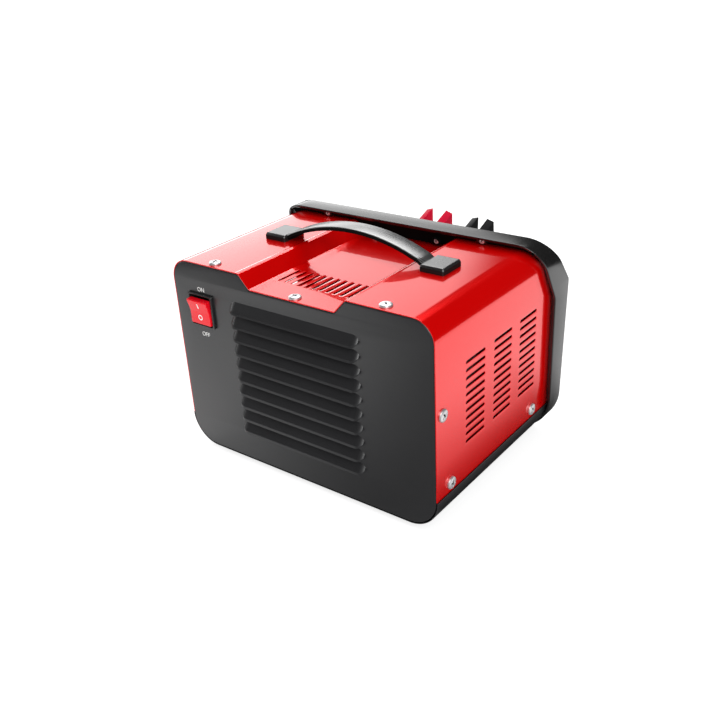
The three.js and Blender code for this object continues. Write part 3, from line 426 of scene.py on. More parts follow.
def moulded_black():
    """Moulded plastic: black, satin, with a fine spark-eroded grain and soft flow marks, and painted shade in
    the recess behind the rim's top: matt and darker there."""
    rim, roof, recess_low, recess_back = FRAME_HALF - 8.0, FRAME_TOP - 5.1, 80.0, -152.0
    f = Finish("black_moulding", "black_moulding", (0.012, 0.012, 0.012), 0.22, IOR=1.75)
    grain, flow = f.noise(0.8, 4, 0.65), f.noise(30, 3, 0.5, (1.0, 0.25, 1.0))
    f.colour((0.008, 0.008, 0.0085), (0.017, 0.0165, 0.016), flow * 0.7 + grain * 0.3)
    f.drive("Roughness", 0.15 + flow * 0.08 + grain * 0.06)
    x, y, z = f.axes()
    # Painted shade: the recess behind the rim's top goes matt and darker.
    inside = (x.abs() < rim) * (z < roof + SHIFT[2]) * (z > recess_low) * (y > recess_back + SHIFT[1])
    f.matt((0.006, 0.006, 0.006), inside)
    return f.relief(grain, 0.010)


def strap_black():
    """Lacquered strap: a hard mirror-like skin with lines drawn along its length and a scuffed crown, and
    painted shade: matt and darker where it does not face up."""
    f = Finish("black_strap", "strap", (0.02, 0.02, 0.021), 0.27, IOR=3.2)
    drawn, scuff = f.noise(1.1, 3, 0.6, (0.05, 1.0, 0.4)), f.noise(14, 4, 0.6)
    f.colour((0.010, 0.010, 0.011), (0.032, 0.032, 0.034), drawn * 0.6 + scuff.step(0.5, 0.75) * 0.4)
    f.drive("Roughness", 0.20 + drawn * 0.10 + scuff * 0.06)
    # Painted shade: the sides that do not face up go matt and darker.
    f.matt((0.008, 0.008, 0.008), 1.0 - f.upward())
    return f.relief(drawn, 0.015)


def plastic(name, slot, color, roughness, grain_size=0.9, depth=0.015, lift=1.35, ior=1.5):
    """Plain moulded plastic in one colour, with a fine grain and a slow change of tone up to `lift`."""
    f = Finish(name, slot, color, roughness, IOR=ior)
    grain, cloud = f.noise(grain_size, 3, 0.6), f.noise(18, 3)
    f.colour(times(color, 0.88), times(color, lift), cloud * 0.7 + grain * 0.3)
    f.drive("Roughness", roughness - 0.06 + cloud * 0.08 + grain * 0.06)
    return f.relief(grain, depth)


def rubber_black():
    """Soft black rubber: matt, dusty in its hollows."""
    f = Finish("black_rubber", "rubber", (0.018, 0.018, 0.018), 0.8)
    dust = f.noise(3.5, 4, 0.6)
    f.colour((0.013, 0.013, 0.013), (0.045, 0.043, 0.040), dust.step(0.45, 0.8))
    f.drive("Roughness", 0.7 + dust * 0.2)
    return f.relief(dust, 0.04)


def bright_zinc():
    """Bright plated steel: pale, with fine turning marks and faint clouding, and painted shade, dark where
    the shade attribute says so, in the crosses of the screw heads."""
    f = Finish("bright_zinc", "bright_steel", (0.80, 0.80, 0.81), 0.3, 0.75)
    mark, cloud = f.noise(0.35, 3, 0.6), f.noise(2.4, 3)
    # Painted shade: the shade attribute darkens the sunk crosses of the screw heads.
    shade = f.add("ShaderNodeAttribute", {"attribute_name": "shade"}, {}, "Fac")
    f.colour(f.blend((0.70, 0.70, 0.71), (0.88, 0.88, 0.89), cloud), (0.02, 0.02, 0.02), shade)
    f.drive("Roughness", 0.24 + mark * 0.14 + cloud * 0.06)
    return f.relief(mark, 0.005)


def raw_metal(name, color, roughness, stretch):
    """Bare metal with a drawn or rolled grain along one direction and dull patches."""
    f = Finish(name, "aluminium", color, roughness, 1.0)
    drawn, cloud = f.noise(0.7, 3, 0.6, stretch), f.noise(12, 4)
    f.colour(times(color, 0.75), times(color, 1.2), cloud * 0.6 + drawn * 0.4)
    f.drive("Roughness", roughness - 0.1 + drawn * 0.16 + cloud * 0.08)
    return f.relief(drawn, 0.02)


def core_laminations():
    """A varnished core of thin pressed sheets: fine dark seams, about a millimetre apart along y."""
    f = Finish("core_laminations", "iron", (0.10, 0.10, 0.11), 0.5, 0.7)
    seam, cloud = f.axes()[1].wave(0.9).step(-0.9, 0.2), f.noise(8, 4)
    f.colour((0.03, 0.03, 0.035), (0.14, 0.14, 0.15), seam * (0.5 + cloud * 0.5))
    f.drive("Roughness", 0.4 + cloud * 0.2)
    return f.relief(seam, 0.05)


def wound_copper(name, color):
    """Varnished wire laid in close turns: rounded ridges 1.3 mm apart up the winding, with painted shade
    in the grooves between them and lighter crests.
    """
    f = Finish(name, "copper", color, 0.35, 0.6, **{"Coat Weight": 0.5, "Coat Roughness": 0.15})
    ridge, cloud = f.axes()[2].wave(1.3) * 0.5 + 0.5, f.noise(6, 3)
    # Painted shade: darker in the grooves between turns, lighter on the crests.
    f.colour(times(color, 0.35), times(color, 1.2), ridge * (0.6 + cloud * 0.4))
    f.drive("Roughness", 0.28 + cloud * 0.2)
    return f.relief(ridge, 0.35)


def clear_window():
    """Clear moulded window: thin, faintly smudged."""
    f = Finish("clear_window", "clear", (0.95, 0.97, 0.97), 0.05, 0.0, **{"IOR": 1.49, "Coat Weight": 0.3})
    smudge = f.noise(7, 4)
    f.drive("Roughness", 0.03 + smudge.step(0.5, 0.8) * 0.12)
    f.drive("Alpha", 0.10 + smudge.step(0.45, 0.8) * 0.06)
    return f


def lamp_lens(name, slot, color):
    """Tinted lens: saturated, glossy, with fine crossed ribs under the surface."""
    coat = {"Coat Weight": 1.0, "Coat Roughness": 0.03, "Transmission Weight": 0.25}
    f = Finish(name, slot, color, 0.12, 0.0, **coat)
    x, _, z = f.axes()
    f.colour(times(color, 0.6), times(color, 1.6), x.wave(0.9) * z.wave(0.9) * 0.5 + 0.5)
    return f.relief(f.noise(2, 2), 0.01)


def rocker_red(name, at, facing):
    """Red rocker plastic with its I above and its O below, printed white on the two faces. facing is 1 for
    a rocker that faces the rear and -1 for one that faces the front."""
    f = plastic(name, "red_plastic", (0.80, 0.003, 0.012), 0.2, 1.2, 0.004)
    tone = Value(f, f.shader.inputs["Base Color"].links[0].from_socket)
    x, y, z = f.axes()
    pivot = np.array(at) + SHIFT
    across, up = (x - pivot[0]) * facing, z - pivot[2]
    line = (across.abs() < 0.55) * ((up - 4.6).abs() < 2.1)
    ring = ((across * across + (up + 5.3) * (up + 5.3)).root() - 1.9).abs() < 0.45
    f.colour(tone, (0.9, 0.88, 0.86), line.most(ring) * (y * facing > pivot[1] * facing))
    return f


def clamp_finish(colour, sleeve, roughness, pivot_z):
    """A clamp half: a dipped plastic sleeve on its handle, and plated steel below the sleeve's end."""
    f = Finish(f"clamp_{colour}", f"{colour}_plastic", sleeve, roughness, IOR=1.15)
    z = f.axes()[2]
    grain, cloud = f.noise(0.6, 3), f.noise(9, 3)
    handle = (z - (pivot_z + SHIFT[2] + SLEEVE_START) + cloud * 0.8).step(-0.3, 0.3)
    dipped = f.blend(times(sleeve, 0.8), times(sleeve, 1.25), cloud)
    steel = f.blend((0.42, 0.41, 0.40), (0.66, 0.65, 0.62), grain * 0.5 + cloud * 0.5)
    f.colour(steel, dipped, handle)
    f.drive("Metallic", 1.0 - handle)
    f.drive("Roughness", (roughness + grain * 0.08) * handle + (0.28 + grain * 0.15) * (1.0 - handle))
    return f.relief(handle * 0.8 + grain * 0.05, 0.25)


RED = painted_red()
BLACK = powder_black()
MOULDED = moulded_black()
STRAP = strap_black()
RUBBER = rubber_black()
ZINC = bright_zinc()
CAP = plastic("cap_plastic", "black_plastic", (0.020, 0.020, 0.021), 0.28, 0.8, 0.008, ior=2.6)
# Painted shade: matt and darker wherever the cap or post does not face up.
CAP.matt((0.010, 0.010, 0.010), (1.0 - CAP.upward()) * 0.85)
HOUSING = plastic("housing_plastic", "black_plastic", (0.012, 0.012, 0.0125), 0.36, 0.7, 0.012, ior=1.7)
KNOB = plastic("knob_plastic", "black_plastic", (0.012, 0.012, 0.0125), 0.32, 0.7, 0.012)
ALUMINIUM = raw_metal("rolled_aluminium", (0.55, 0.55, 0.57), 0.42, (1, 0.08, 1))
PRINT = plastic("white_print", "dial_white", (0.80, 0.80, 0.78), 0.5, 0.5, 0.005, 1.1)
INK = plastic("black_print", "black_plastic", (0.02, 0.02, 0.02), 0.6, 0.5, 0.003)
DIAL = plastic("dial_card", "dial_white", (0.78, 0.77, 0.70), 0.6, 0.8, 0.004, 1.08)
NEEDLE = plastic("needle_red", "red_plastic", (0.55, 0.02, 0.01), 0.35)
CERAMIC = plastic("terminal_plastic", "dial_white", (0.62, 0.60, 0.54), 0.55, 0.8, 0.02, 1.15)


# ---- making pieces ----


def placed(name, data):
    """A new object in the scene."""
    obj = bpy.data.objects.new(name, data)
    bpy.context.scene.collection.objects.link(obj)
    return obj


def final_mesh(obj):
    """A mesh of what an object's modifiers or its outline curve come to."""
    return bpy.data.meshes.new_from_object(obj.evaluated_get(bpy.context.evaluated_depsgraph_get()))


def cleaned(mesh, settle=False, flatten=False):
    """Merges a mesh's doubles, joins its flat facets if flatten, and turns its faces outwards if settle."""
    work = bmesh.new()
    work.from_mesh(mesh)
    bmesh.ops.remove_doubles(work, verts=work.verts, dist=2e-6)
    if flatten:
        bmesh.ops.dissolve_limit(work, angle_limit=math.radians(1.0), verts=work.verts, edges=work.edges)
    if settle:
        bmesh.ops.recalc_face_normals(work, faces=work.faces)
    work.to_mesh(mesh)
    work.free()


def bevelled(obj, width, angle):
    """Rounds the edges of an object that turn by more than an angle."""
    ease = obj.modifiers.new("ease", "BEVEL")
    ease.width, ease.segments, ease.limit_method = width / METRE, 2, "ANGLE"
    ease.angle_limit = math.radians(angle)


def dressed(obj, finish, stands_for, body, crease=38.0):
    if obj.modifiers:
        ready = final_mesh(obj)
        obj.modifiers.clear()
        obj.data = ready
    obj.data.shade_smooth()
    obj.data.set_sharp_from_angle(angle=math.radians(crease))
    obj.data.materials.clear()
    obj.data.materials.append(finish.material)
    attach(obj, body)
    if stands_for:
        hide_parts(*stands_for)


def piece(name, part, finish, stands_for=(), body="case", sheet=0.0, bevel=0.0, crease=38.0, settle=True,
          shade=None):
    """One piece of the model from (points, faces) in case millimetres: doubles merged, a wall given where
    the part is a sheet, edges rounded, then ridden and set to stand for its nodes. A negative
    sheet puts the wall on the other side of the points. shade is written to the points as an attribute."""
    points, faces = part
    mesh = bpy.data.meshes.new(name)
    mesh.from_pydata(((points + SHIFT) / METRE).tolist(), [], listed(faces))
    obj = placed(name, mesh)
    if shade is not None:
        attribute = mesh.attributes.new("shade", "FLOAT", "POINT")
        attribute.data.foreach_set("value", np.asarray(shade, np.float32))
    cleaned(mesh, settle=settle)
    if sheet:
        wall = obj.modifiers.new("wall", "SOLIDIFY")
        wall.thickness, wall.offset = abs(sheet) / METRE, -math.copysign(1.0, sheet)
        wall.use_even_offset = True
    if bevel:
        bevelled(obj, bevel, 40)
    dressed(obj, finish, stands_for, body, crease)


def eased(node, finish, body="case", bevel=0.4):
    """A copy of a node's solid with its facets joined and its edges rounded, in the node's place."""
    obj = placed(node + "_eased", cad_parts[node].data.copy())
    cleaned(obj.data, flatten=True)
    bevelled(obj, bevel, 28)
    dressed(obj, finish, (node,), body, crease=32.0)


def lettering(text, size, finish, centre, facing, name, raised=0.04):
    """Plain printed words or numbers, a hair thick, centred on a point and facing a side of the case."""
    curve = bpy.data.curves.new(name, "FONT")
    curve.body, curve.size, curve.extrude = text, size / METRE, raised / METRE
    curve.align_x, curve.align_y, curve.offset = "CENTER", "CENTER", size * 0.008 / METRE
    outline = placed(name + "_outline", curve)
    mesh = final_mesh(outline)
    bpy.data.objects.remove(outline)
    place = Vector((np.array(centre, float) + SHIFT) / METRE)
    mesh.transform(Matrix.Translation(place) @ Matrix(facing.tolist()).to_4x4())
    dressed(placed(name, mesh), finish, (), "case")


# ---- sheet metal ----


def cover():
    """The folded cover: its section is walked by arc length s, and each point lies at depth t times a
    factor that draws the front edge back above the frame's kink. A bead a fifth of a millimetre high runs
    along each lip of the trough. Slots are opened in both walls and in the trough floor."""
    path = case_outline(0.0, 14)
    start = int(np.argmin(np.hypot(path[:, 0] - HALF, path[:, 1] - BASE_RADIUS)))
    path = np.roll(path, -start, axis=0)
    path = path[path[:, 1] >= BASE_RADIUS - 0.01]
    path = np.concatenate([[[HALF, COVER_LOW]], path[1:-1], [[-HALF, COVER_LOW]]])
    length = np.concatenate([[0], np.cumsum(np.hypot(*np.diff(path, axis=0).T))])
    total = length[-1]

    def surface(s, t):
        x, z = np.interp(s, length, path[:, 0]), np.interp(s, length, path[:, 1])
        past_lip = (np.abs(x) - TROUGH_HALF - BEAD_PLACE) / BEAD_SPREAD
        z = z + BEAD_HEIGHT * np.exp(-past_lip ** 2) * (z > TOP - 3)
        return np.stack([x, t * edge_y(REAR_EDGE, z, -INTO_FRAME) / COVER_FRONT, z], -1)

    factor = float(edge_y(REAR_EDGE, TOP - TROUGH_DEPTH, -INTO_FRAME)) / COVER_FRONT
    rows = SLOT_LOW - SLOT_PITCH / 2 + SLOT_PITCH * np.arange(SLOT_ROWS + 1)
    slot = lambda u, v: hole_ring(v, u, SLOT_LENGTH, SLOT_HEIGHT)[::-1]
    vent = lambda u, v: hole_ring(v, u, VENT_LENGTH / factor, VENT_WIDTH)[::-1]
    cells, s_more = [], []
    for s_of in (lambda z: z - COVER_LOW, lambda z: total - (z - COVER_LOW)):
        for low, high in zip(rows[:-1], rows[1:]):
            s0, s1 = sorted((s_of(low), s_of(high)))
            s_more.append(np.linspace(s0, s1, 5))
            cells += [(s0, s1, c - SLOT_CELL, c + SLOT_CELL, slot) for c in SLOT_CENTRES]
    t_more = [np.linspace(c - SLOT_CELL, c + SLOT_CELL, 9) for c in SLOT_CENTRES]
    vent_ends = VENT_Y / factor - VENT_CELL / factor, VENT_Y / factor + VENT_CELL / factor
    for i in range(VENTS):
        middle = total / 2 + (i - (VENTS - 1) / 2) * VENT_PITCH
        s0, s1 = middle - VENT_PITCH / 2, middle + VENT_PITCH / 2
        s_more.append(np.linspace(s0, s1, 5))
        cells.append((s0, s1, *vent_ends, vent))
    near_lip = (path[:, 1] > TOP - 0.5) & (path[:, 0] > 0)
    across = TROUGH_HALF + np.linspace(0.0, BEAD_REACH, 16)
    bead = np.interp(across, path[near_lip, 0][::-1], length[near_lip][::-1])
    s_lines = lines(length, bead, total - bead, *s_more)
    t_lines = lines([COVER_FRONT, -158.0, -8.0, -0.75, -0.4], vent_ends, *t_more)
    return pierced(surface, s_lines, t_lines, cells)


piece("cover_sheet", cover(), RED, ("cover",), sheet=EDGE_SHEET, bevel=0.12, crease=25.0)


def pan():
    """The base pan's skin: the lower part of the case outline carried from the rear to the front edge."""
    line = case_outline(0.0, 18)
    line = line[line[:, 1] < BASE_RADIUS + 0.1]
    line = np.concatenate([[[-HALF, PAN_TOP]], line[line[:, 0] < 0], line[line[:, 0] > 0], [[HALF, PAN_TOP]]])
    return stacked([at_depth(line, y) for y in (-0.4, -0.75, -20, -80, -140, COVER_FRONT)], around=False)


piece("pan_sheet", pan(), BLACK, ("base_pan",), sheet=-EDGE_SHEET, bevel=0.3, crease=25.0)


def rear_plate():
    """The louvred back: a flat face filled between its outline and its openings, an eased rim, and a
    flange that runs forward inside the case."""
    def opening(x0, x1, z0, z1):
        return np.array([(x0, 0, z0), (x1, 0, z0), (x1, 0, z1), (x0, 0, z1)], float)

    rim, flange = EDGE_SHEET + 0.1, SHEET + GAP
    steps = ((rim + 1.0, 0.0), (rim + 0.4, -0.14), (rim + 0.1, -0.5), (rim, -1.1), (rim, -4.0),
             (flange, -5.0), (flange, -14.0))
    loops = [at_depth(case_outline(inset, 10), y) for inset, y in steps]
    flat_half, (x, _, z), (half_x, half_z) = LOUVRE_HALF - LOUVRE_END, REAR_SWITCH, SWITCH_OPENING
    rings = [loops[0], *(opening(-flat_half, flat_half, lip + 0.4, lip + 6.2) for lip in LIPS),
             opening(x - half_x, x + half_x, z - half_z, z + half_z)]
    faces = [list(t) for t in tessellate_polygon([[Vector(p) for p in ring] for ring in rings])]
    return joined((np.concatenate(rings), faces), stacked(loops))


def louvre(lip):
    """One pressed hood: its section is a straight slope from a crease in the plate to a short upright lip.
    Towards each end its top comes down and its lip rises to meet at half height, and its depth falls to
    nothing, all on a quarter ellipse."""
    flat_half = LOUVRE_HALF - LOUVRE_END
    tip = LOUVRE_HALF - LOUVRE_END * (1 - np.cos(np.linspace(0, np.pi / 2, 20)))
    u = np.concatenate([-tip, np.linspace(3.0 - flat_half, flat_half - 3.0, 9), tip[::-1]])
    end = np.sqrt(np.clip(1 - (np.clip(np.abs(u) - flat_half, 0, LOUVRE_END) / LOUVRE_END) ** 2, 0, 1))
    section = rounded([(LOUVRE_HEIGHT, 0.0), (1.9, 4.5, 0.9), (0.0, 4.95)], 6)
    section = np.concatenate([np.linspace(section[0], section[1], 5)[:-1], section[1:]])
    x = np.repeat(u[None], len(section), 0)
    z = lip + (LOUVRE_HEIGHT / 2 * (1 - end))[None] + section[:, :1] * end[None]
    y = 0.04 + section[:, 1:] * end[None]
    return stacked(np.stack([x, y, z], -1), around=False)


piece("rear_plate", rear_plate(), BLACK, ("rear_panel",), sheet=SHEET)
piece("louvre_hoods", joined(*[louvre(lip) for lip in LIPS]), BLACK, sheet=1.1, crease=50.0)
lettering("ON", 4.9, PRINT, (92.4, 0.06, 143.3), FACING_REAR, "print_on")
lettering("OFF", 4.9, PRINT, (93.2, 0.06, 105.0), FACING_REAR, "print_off")


# ---- front frame ----


def front_frame():
    """The moulded frame as rings round the case, one after another: out from the groove across the recess
    and up its rim, over the eased outer edge, round the front edge, down the tray and back along the
    sleeve."""
    def outer(inset):
        return perimeter(FRAME_HALF - inset, FRAME_LOW + inset, FRAME_TOP - inset,
                         FRAME_TOP_RADIUS - inset, FRAME_BASE_RADIUS - inset)

    def tray(grow):
        return perimeter(TRAY_HALF + grow, TRAY_LOW - grow, TRAY_TOP + grow,
                         TRAY_RADIUS + grow, TRAY_RADIUS + grow)

    groove, back_ease, front_ease = -INTO_FRAME - GAP, 0.9, 1.2
    quarter = [(1 - math.cos(a), 1 - math.sin(a)) for a in np.linspace(0, np.pi / 2, 6)]
    rings = [(case_loop(-GAP), REAR_EDGE, groove), (case_loop(-GAP), REAR_EDGE, -RECESS_DEPTH),
             (outer(RECESS_RIM), REAR_EDGE, -RECESS_DEPTH), (outer(RECESS_RIM), REAR_EDGE, -0.3),
             (outer(RECESS_RIM - 0.3), REAR_EDGE, 0.0)]
    rings += [(outer(back_ease * left), REAR_EDGE, -back_ease * gone) for gone, left in quarter]
    rings += [(outer(front_ease * gone), FRONT_EDGE, front_ease * left) for gone, left in quarter]
    rings += [(tray(front_ease * left), FRONT_EDGE, front_ease * gone) for gone, left in quarter]
    rings += [(tray(0.0), REAR_EDGE, -FRAME_WALL)]
    sleeve = ((SLEEVE_INNER, -FRAME_WALL), (SLEEVE_INNER, SLEEVE_END), (SLEEVE_OUTER, SLEEVE_END),
              (SLEEVE_OUTER, groove))
    rings += [(case_loop(inset), REAR_EDGE, dy) for inset, dy in sleeve]
    rings = [on_edge(*ring) for ring in rings]
    return stacked([*rings, rings[0]])


def screw_boss(x, z, seat):
    """A boss in the frame's recess: a post as high as the rear edge at each of its points, with a well
    for the screw head. It stops where the frame's top wall begins."""
    angle = np.linspace(0, 2 * np.pi, 40, endpoint=False)

    def ring(radius):
        return np.stack([x + radius * np.cos(angle),
                         np.minimum(z + radius * np.sin(angle), FRAME_TOP - 0.6)], -1)

    floor = at_depth(ring(BOSS_WELL), seat)
    steps = ((BOSS_RADIUS, -RECESS_DEPTH - 0.2), (BOSS_RADIUS, -0.15), (BOSS_RADIUS - 0.15, 0.0),
             (BOSS_WELL + 0.1, 0.0), (BOSS_WELL, -0.15))
    return stacked([*(on_edge(ring(radius), REAR_EDGE, dy) for radius, dy in steps), floor, middle_of(floor)])


piece("frame_moulding", front_frame(), MOULDED, ("front_frame",), crease=42.0)
for i, (x, z, seat) in enumerate(FRAME_SCREWS.values()):
    for side, word in ((1, "left"), (-1, "right")):
        piece(f"frame_boss_{word}_{i}", screw_boss(side * x, z, seat), MOULDED, crease=42.0)


# ---- strap handle ----


def strap():
    """The strap: a rounded flat section carried along an arc that eases into level ends, with its width
    along y. The crown of the section stands a little proud."""
    x = np.linspace(-STRAP_HALF, STRAP_HALF, 121)
    arc = STRAP_CROWN - STRAP_RADIUS + np.sqrt(np.clip(STRAP_RADIUS ** 2 - x ** 2, 0, None))
    level = np.clip((np.abs(x) - STRAP_ARC_HALF) / STRAP_EASE, 0, 1)
    level = level * level * (3 - 2 * level)
    z = arc * (1 - level) + STRAP_FOOT * level
    slope = np.gradient(z, x)
    normal = np.stack([-slope, np.ones_like(slope)], -1) / np.sqrt(1 + slope ** 2)[:, None]
    w, h = STRAP_WIDTH_HALF, STRAP_THICK_HALF
    section = rounded([(w, -h, 0.7), (w, h, 1.2), (-w, h, 1.2), (-w, -h, 0.7)], 5)
    section[:, 1] -= np.clip(section[:, 1], 0, None) * (np.abs(section[:, 0]) / w) ** 2 * 0.12
    return closed(np.stack([x[:, None] + normal[:, :1] * section[None, :, 1],
                            np.broadcast_to(STRAP_Y + section[None, :, 0], (len(x), len(section))),
                            z[:, None] + normal[:, 1:] * section[None, :, 1]], -1))


def strap_cap(side):
    """An end cap: rounded rectangles stacked from the cover up, upright for 3 mm and then drawn in to a
    flat top with an eased edge."""
    levels = [(0.0, 165.05), (0.0, 168.2), (0.12, 168.5), (0.95, 169.9), (1.25, 170.2), (1.8, 170.29),
              (2.0, 170.3), (2.3, 170.3), (6.0, 170.3)]
    rings = [rectangle(CAP_WIDTH, CAP_LENGTH, CAP_RADIUS, inset, level, 6) for inset, level in levels]
    return moved(stacked([*rings, middle_of(rings[-1])]), (side * CAP_X, STRAP_Y, 0.0))


piece("strap_handle", strap(), STRAP, ("handle_strap",))
for side, word in ((1, "left"), (-1, "right")):
    piece(f"strap_cap_{word}", strap_cap(side), CAP, (f"handle_cap_{word}",), crease=50.0)


# ---- screws and feet ----


def screw(group, which, size, turn, spot, facing):
    """A pan head in its place: a low dome over a short upright rim, with a cross sunk into it where a
    point lies within the cross's arms, deepest in the middle. The shade attribute, painted shade, is 1 deep
    in the cross."""
    (head, rise), arm_half, arm_reach = size, 0.105, 0.50
    radius = np.concatenate([[0.0], head * np.linspace(0.03, 1.0, 34)])
    angle = turn + np.linspace(0, 2 * np.pi, 96, endpoint=False)
    r, a = np.meshgrid(radius, angle, indexing="ij")
    share = r / head
    arm = np.minimum(np.abs(r * np.cos(a - turn)), np.abs(r * np.sin(a - turn))) / head
    across, along = np.exp((arm - arm_half) * 110), np.exp((share - arm_reach) * 55)
    sunk = (0.80 - 0.7 * share) / (1 + across) / (1 + along)
    dome = 0.40 + 0.60 * np.sqrt(np.clip(1 - share ** 2.2, 0, 1))
    top = np.stack([r * np.cos(a), r * np.sin(a), rise * (dome - sunk)], -1)
    rim = [level_ring(top[-1, :, :2], z) for z in (rise * 0.36, 0.05)]
    # Painted shade: dark deep in the cross.
    shade = np.clip(sunk * 2.6 - 0.25, 0, 1) * (share < 0.7)
    shade = np.concatenate([shade.ravel(), np.zeros(2 * len(angle))])
    piece(f"screw_{group}_{which}", moved(stacked([*top, *rim]), spot, facing), ZINC,
          (f"{group}_screw_{which}",), shade=shade)


top_spots = {"left": (80, -7, TOP), "middle": (0, -6, TOP - TROUGH_DEPTH), "right": (-80, -7, TOP)}
side_spots = {"upper": (-8.6, 93), "rear": (-19, 32.5), "front": (-142, 32.5)}
foot = turned([(0, -0.3), (7.2, -0.3, 0.4), (6.4, -5.2, 0.6), (5.6, -6.0, 0.3), (0, -6.0)])
for i, (where, spot) in enumerate(top_spots.items()):
    screw("top", where, CASE_SCREW, 0.35 + i, spot, None)
for side, word, facing in ((1, "left", FACING_LEFT), (-1, "right", FACING_RIGHT)):
    for i, (where, (y, z)) in enumerate(side_spots.items()):
        screw("side", f"{word}_{where}", CASE_SCREW, 0.6 + 0.8 * i, (side * HALF, y, z), facing)
    for where, (x, z, seat) in FRAME_SCREWS.items():
        screw("frame", f"{word}_{where}", FRAME_SCREW, 0.5, (side * x, seat, z), FACING_REAR)
    for where, y in (("rear", -18), ("front", -148)):
        piece(f"rubber_foot_{word}_{where}", moved(foot, (side * 90, y, 0)), RUBBER,
              (f"foot_{word}_{where}",))


# ---- switches ----


def switch_frame(facing, at):
    """A switch's bezel and well: rings of rounded rectangles that climb the outside, cross the rim and go
    down the well to a floor."""
    outside = [(*BEZEL, BEZEL_RADIUS, *step, 5) for step in ((0, 0.02), (0, 1.5), (0.2, 1.95), (0.6, 2.15))]
    inside = [(*WELL, WELL_RADIUS, *step, 5) for step in ((-0.4, 2.15), (-0.1, 2.0), (0, 1.7), (0, -11.9))]
    rings = [rectangle(*ring) for ring in outside + inside]
    return moved(stacked([*rings, middle_of(rings[-1])]), at, facing)


def rocker(facing, at, tilt=math.radians(8)):
    """The rocker: its side view is a shallow V in front and a narrowing keel behind, swept across the
    width with the edges drawn in, then tipped about its pivot."""
    side = rounded([(7.1, 10.8, 1.0), (6.2, 5, 6), (5.8, 0, 8), (6.2, -5, 6), (7.1, -10.8, 1.0),
                    (2, -10.4, 1), (-5, -4, 1.5), (-5, 4, 1.5), (2, 10.4, 1)], 6)
    middle = np.array([2.5, 0.0])
    toward = side - middle
    length = np.hypot(*toward.T)[:, None]
    half = [(10.65, 0.9), (10.5, 0.35), (10.1, 0.08), (9.6, 0.0)]
    points, faces = closed([np.column_stack([np.full(len(side), x), middle + toward * (1 - drawn / length)])
                            for x, drawn in [(-x, drawn) for x, drawn in half] + half[::-1]])
    x, y, z = points.T
    tipped = np.stack([-x, z * math.cos(tilt) - y * math.sin(tilt),
                       y * math.cos(tilt) + z * math.sin(tilt) - 2.0], -1)
    return moved((tipped, faces), at, facing)


SWITCHES = (("rear", FACING_REAR, REAR_SWITCH, 1.0), ("front", FACING_FRONT, FRONT_SWITCH, -1.0))
for where, facing, at, _ in SWITCHES:
    piece(f"{where}_switch_frame", switch_frame(facing, at), HOUSING,
          (f"{where}_switch_housing",), crease=50)
for where, facing, at, way in SWITCHES:
    piece(f"{where}_rocker_key", rocker(facing, at), rocker_red(f"{where}_rocker_red", at, way),
          (f"{where}_switch_rocker",), f"{where}_rocker", crease=45)


# ---- front panel instruments ----


def on_panel(part, x, z):
    """A part on its own axis, set on the front panel with its axis pointing out of the tray."""
    return moved(part, (x, PANEL_Y, z), FACING_FRONT)


def knob():
    """The selector knob: a skirt and a barrel turned together, with a raised pointer bar across it."""
    barrel = turned([(0, 1.0), (12.5, 1.0, 0.3), (12.5, 3.0, 0.5), (10.5, 4.2, 0.8), (9.6, 10.0, 1.2),
                     (0, 10.2)], 64)
    bar = rounded([(-3.2, -9.5, 1.0), (3.2, -9.5, 1.0), (1.6, 11.8, 0.8), (-1.6, 11.8, 0.8)], 5)
    steps = ((0, 4.0), (0, 14.6), (0.03, 15.2), (0.10, 15.5), (1.0, 15.5))
    return joined(barrel, stacked([level_ring(bar * (1 - drawn), level) for drawn, level in steps]))


piece("selector_dial", on_panel(knob(), 48, 34), KNOB, ("selector_knob",), "selector",
      crease=40)
lens = turned([(0, -8), (4, -8), (4, 0.3), (5.6, 0.3), (5.6, 1.4, 0.4), (4.7, 2.0, 0.4), (4.1, 4.2, 1.2),
               (2.4, 5.7, 1.5), (0, 6.1)])
for state, z, tint, slot in (("charging", 104, (0.5, 0.01, 0.006), "lens_red"),
                             ("charged", 84, (0.01, 0.36, 0.06), "lens_green")):
    piece(f"lens_{state}", on_panel(lens, 20, z), lamp_lens(f"lens_{state}_tint", slot, tint),
          (f"lamp_lens_{state}",))
fuse = turned([(0, -26), (6, -26), (6, 0.3), (9.5, 0.3), (9.5, 3, 0.5), (7.6, 3.4, 0.3), (7.2, 12, 0.8),
               (0, 12)])
piece("fuse_holder_cap", on_panel(fuse, -94, 58), KNOB, ("fuse_cap",))
for name, x, bore in (("mains_gland", -94, 3.6), ("lead_gland_red", -12, 4.2),
                      ("lead_gland_black", -53, 4.2)):
    bush = turned([(bore, -9), (7, -9), (7, 0.3), (10, 0.3), (10, 2.4, 0.6), (8.4, 3, 0.6), (7.2, 9, 0.9),
                   (bore, 9, 0.5), (bore, -9)])
    piece(name + "_bush", on_panel(bush, x, 26), RUBBER, (name,), crease=50)
for colour, radius in (("red", 6.4), ("black", 7.6)):
    x, z = CLAMPS[colour]
    post = turned([(0, -6), (3, -6), (3, 0.3), (radius + 2, 0.3), (radius + 2, 2, 0.4), (radius, 2.6, 0.4),
                   (radius, 24, 1.0), (0, 24)])
    piece(f"post_{colour}", on_panel(post, x, z - 33), CAP, (f"parking_post_{colour}",))
eased("ammeter_case", HOUSING, bevel=0.6)
eased("ammeter_window", clear_window(), bevel=0.2)
eased("ammeter_dial", DIAL, bevel=0.15)


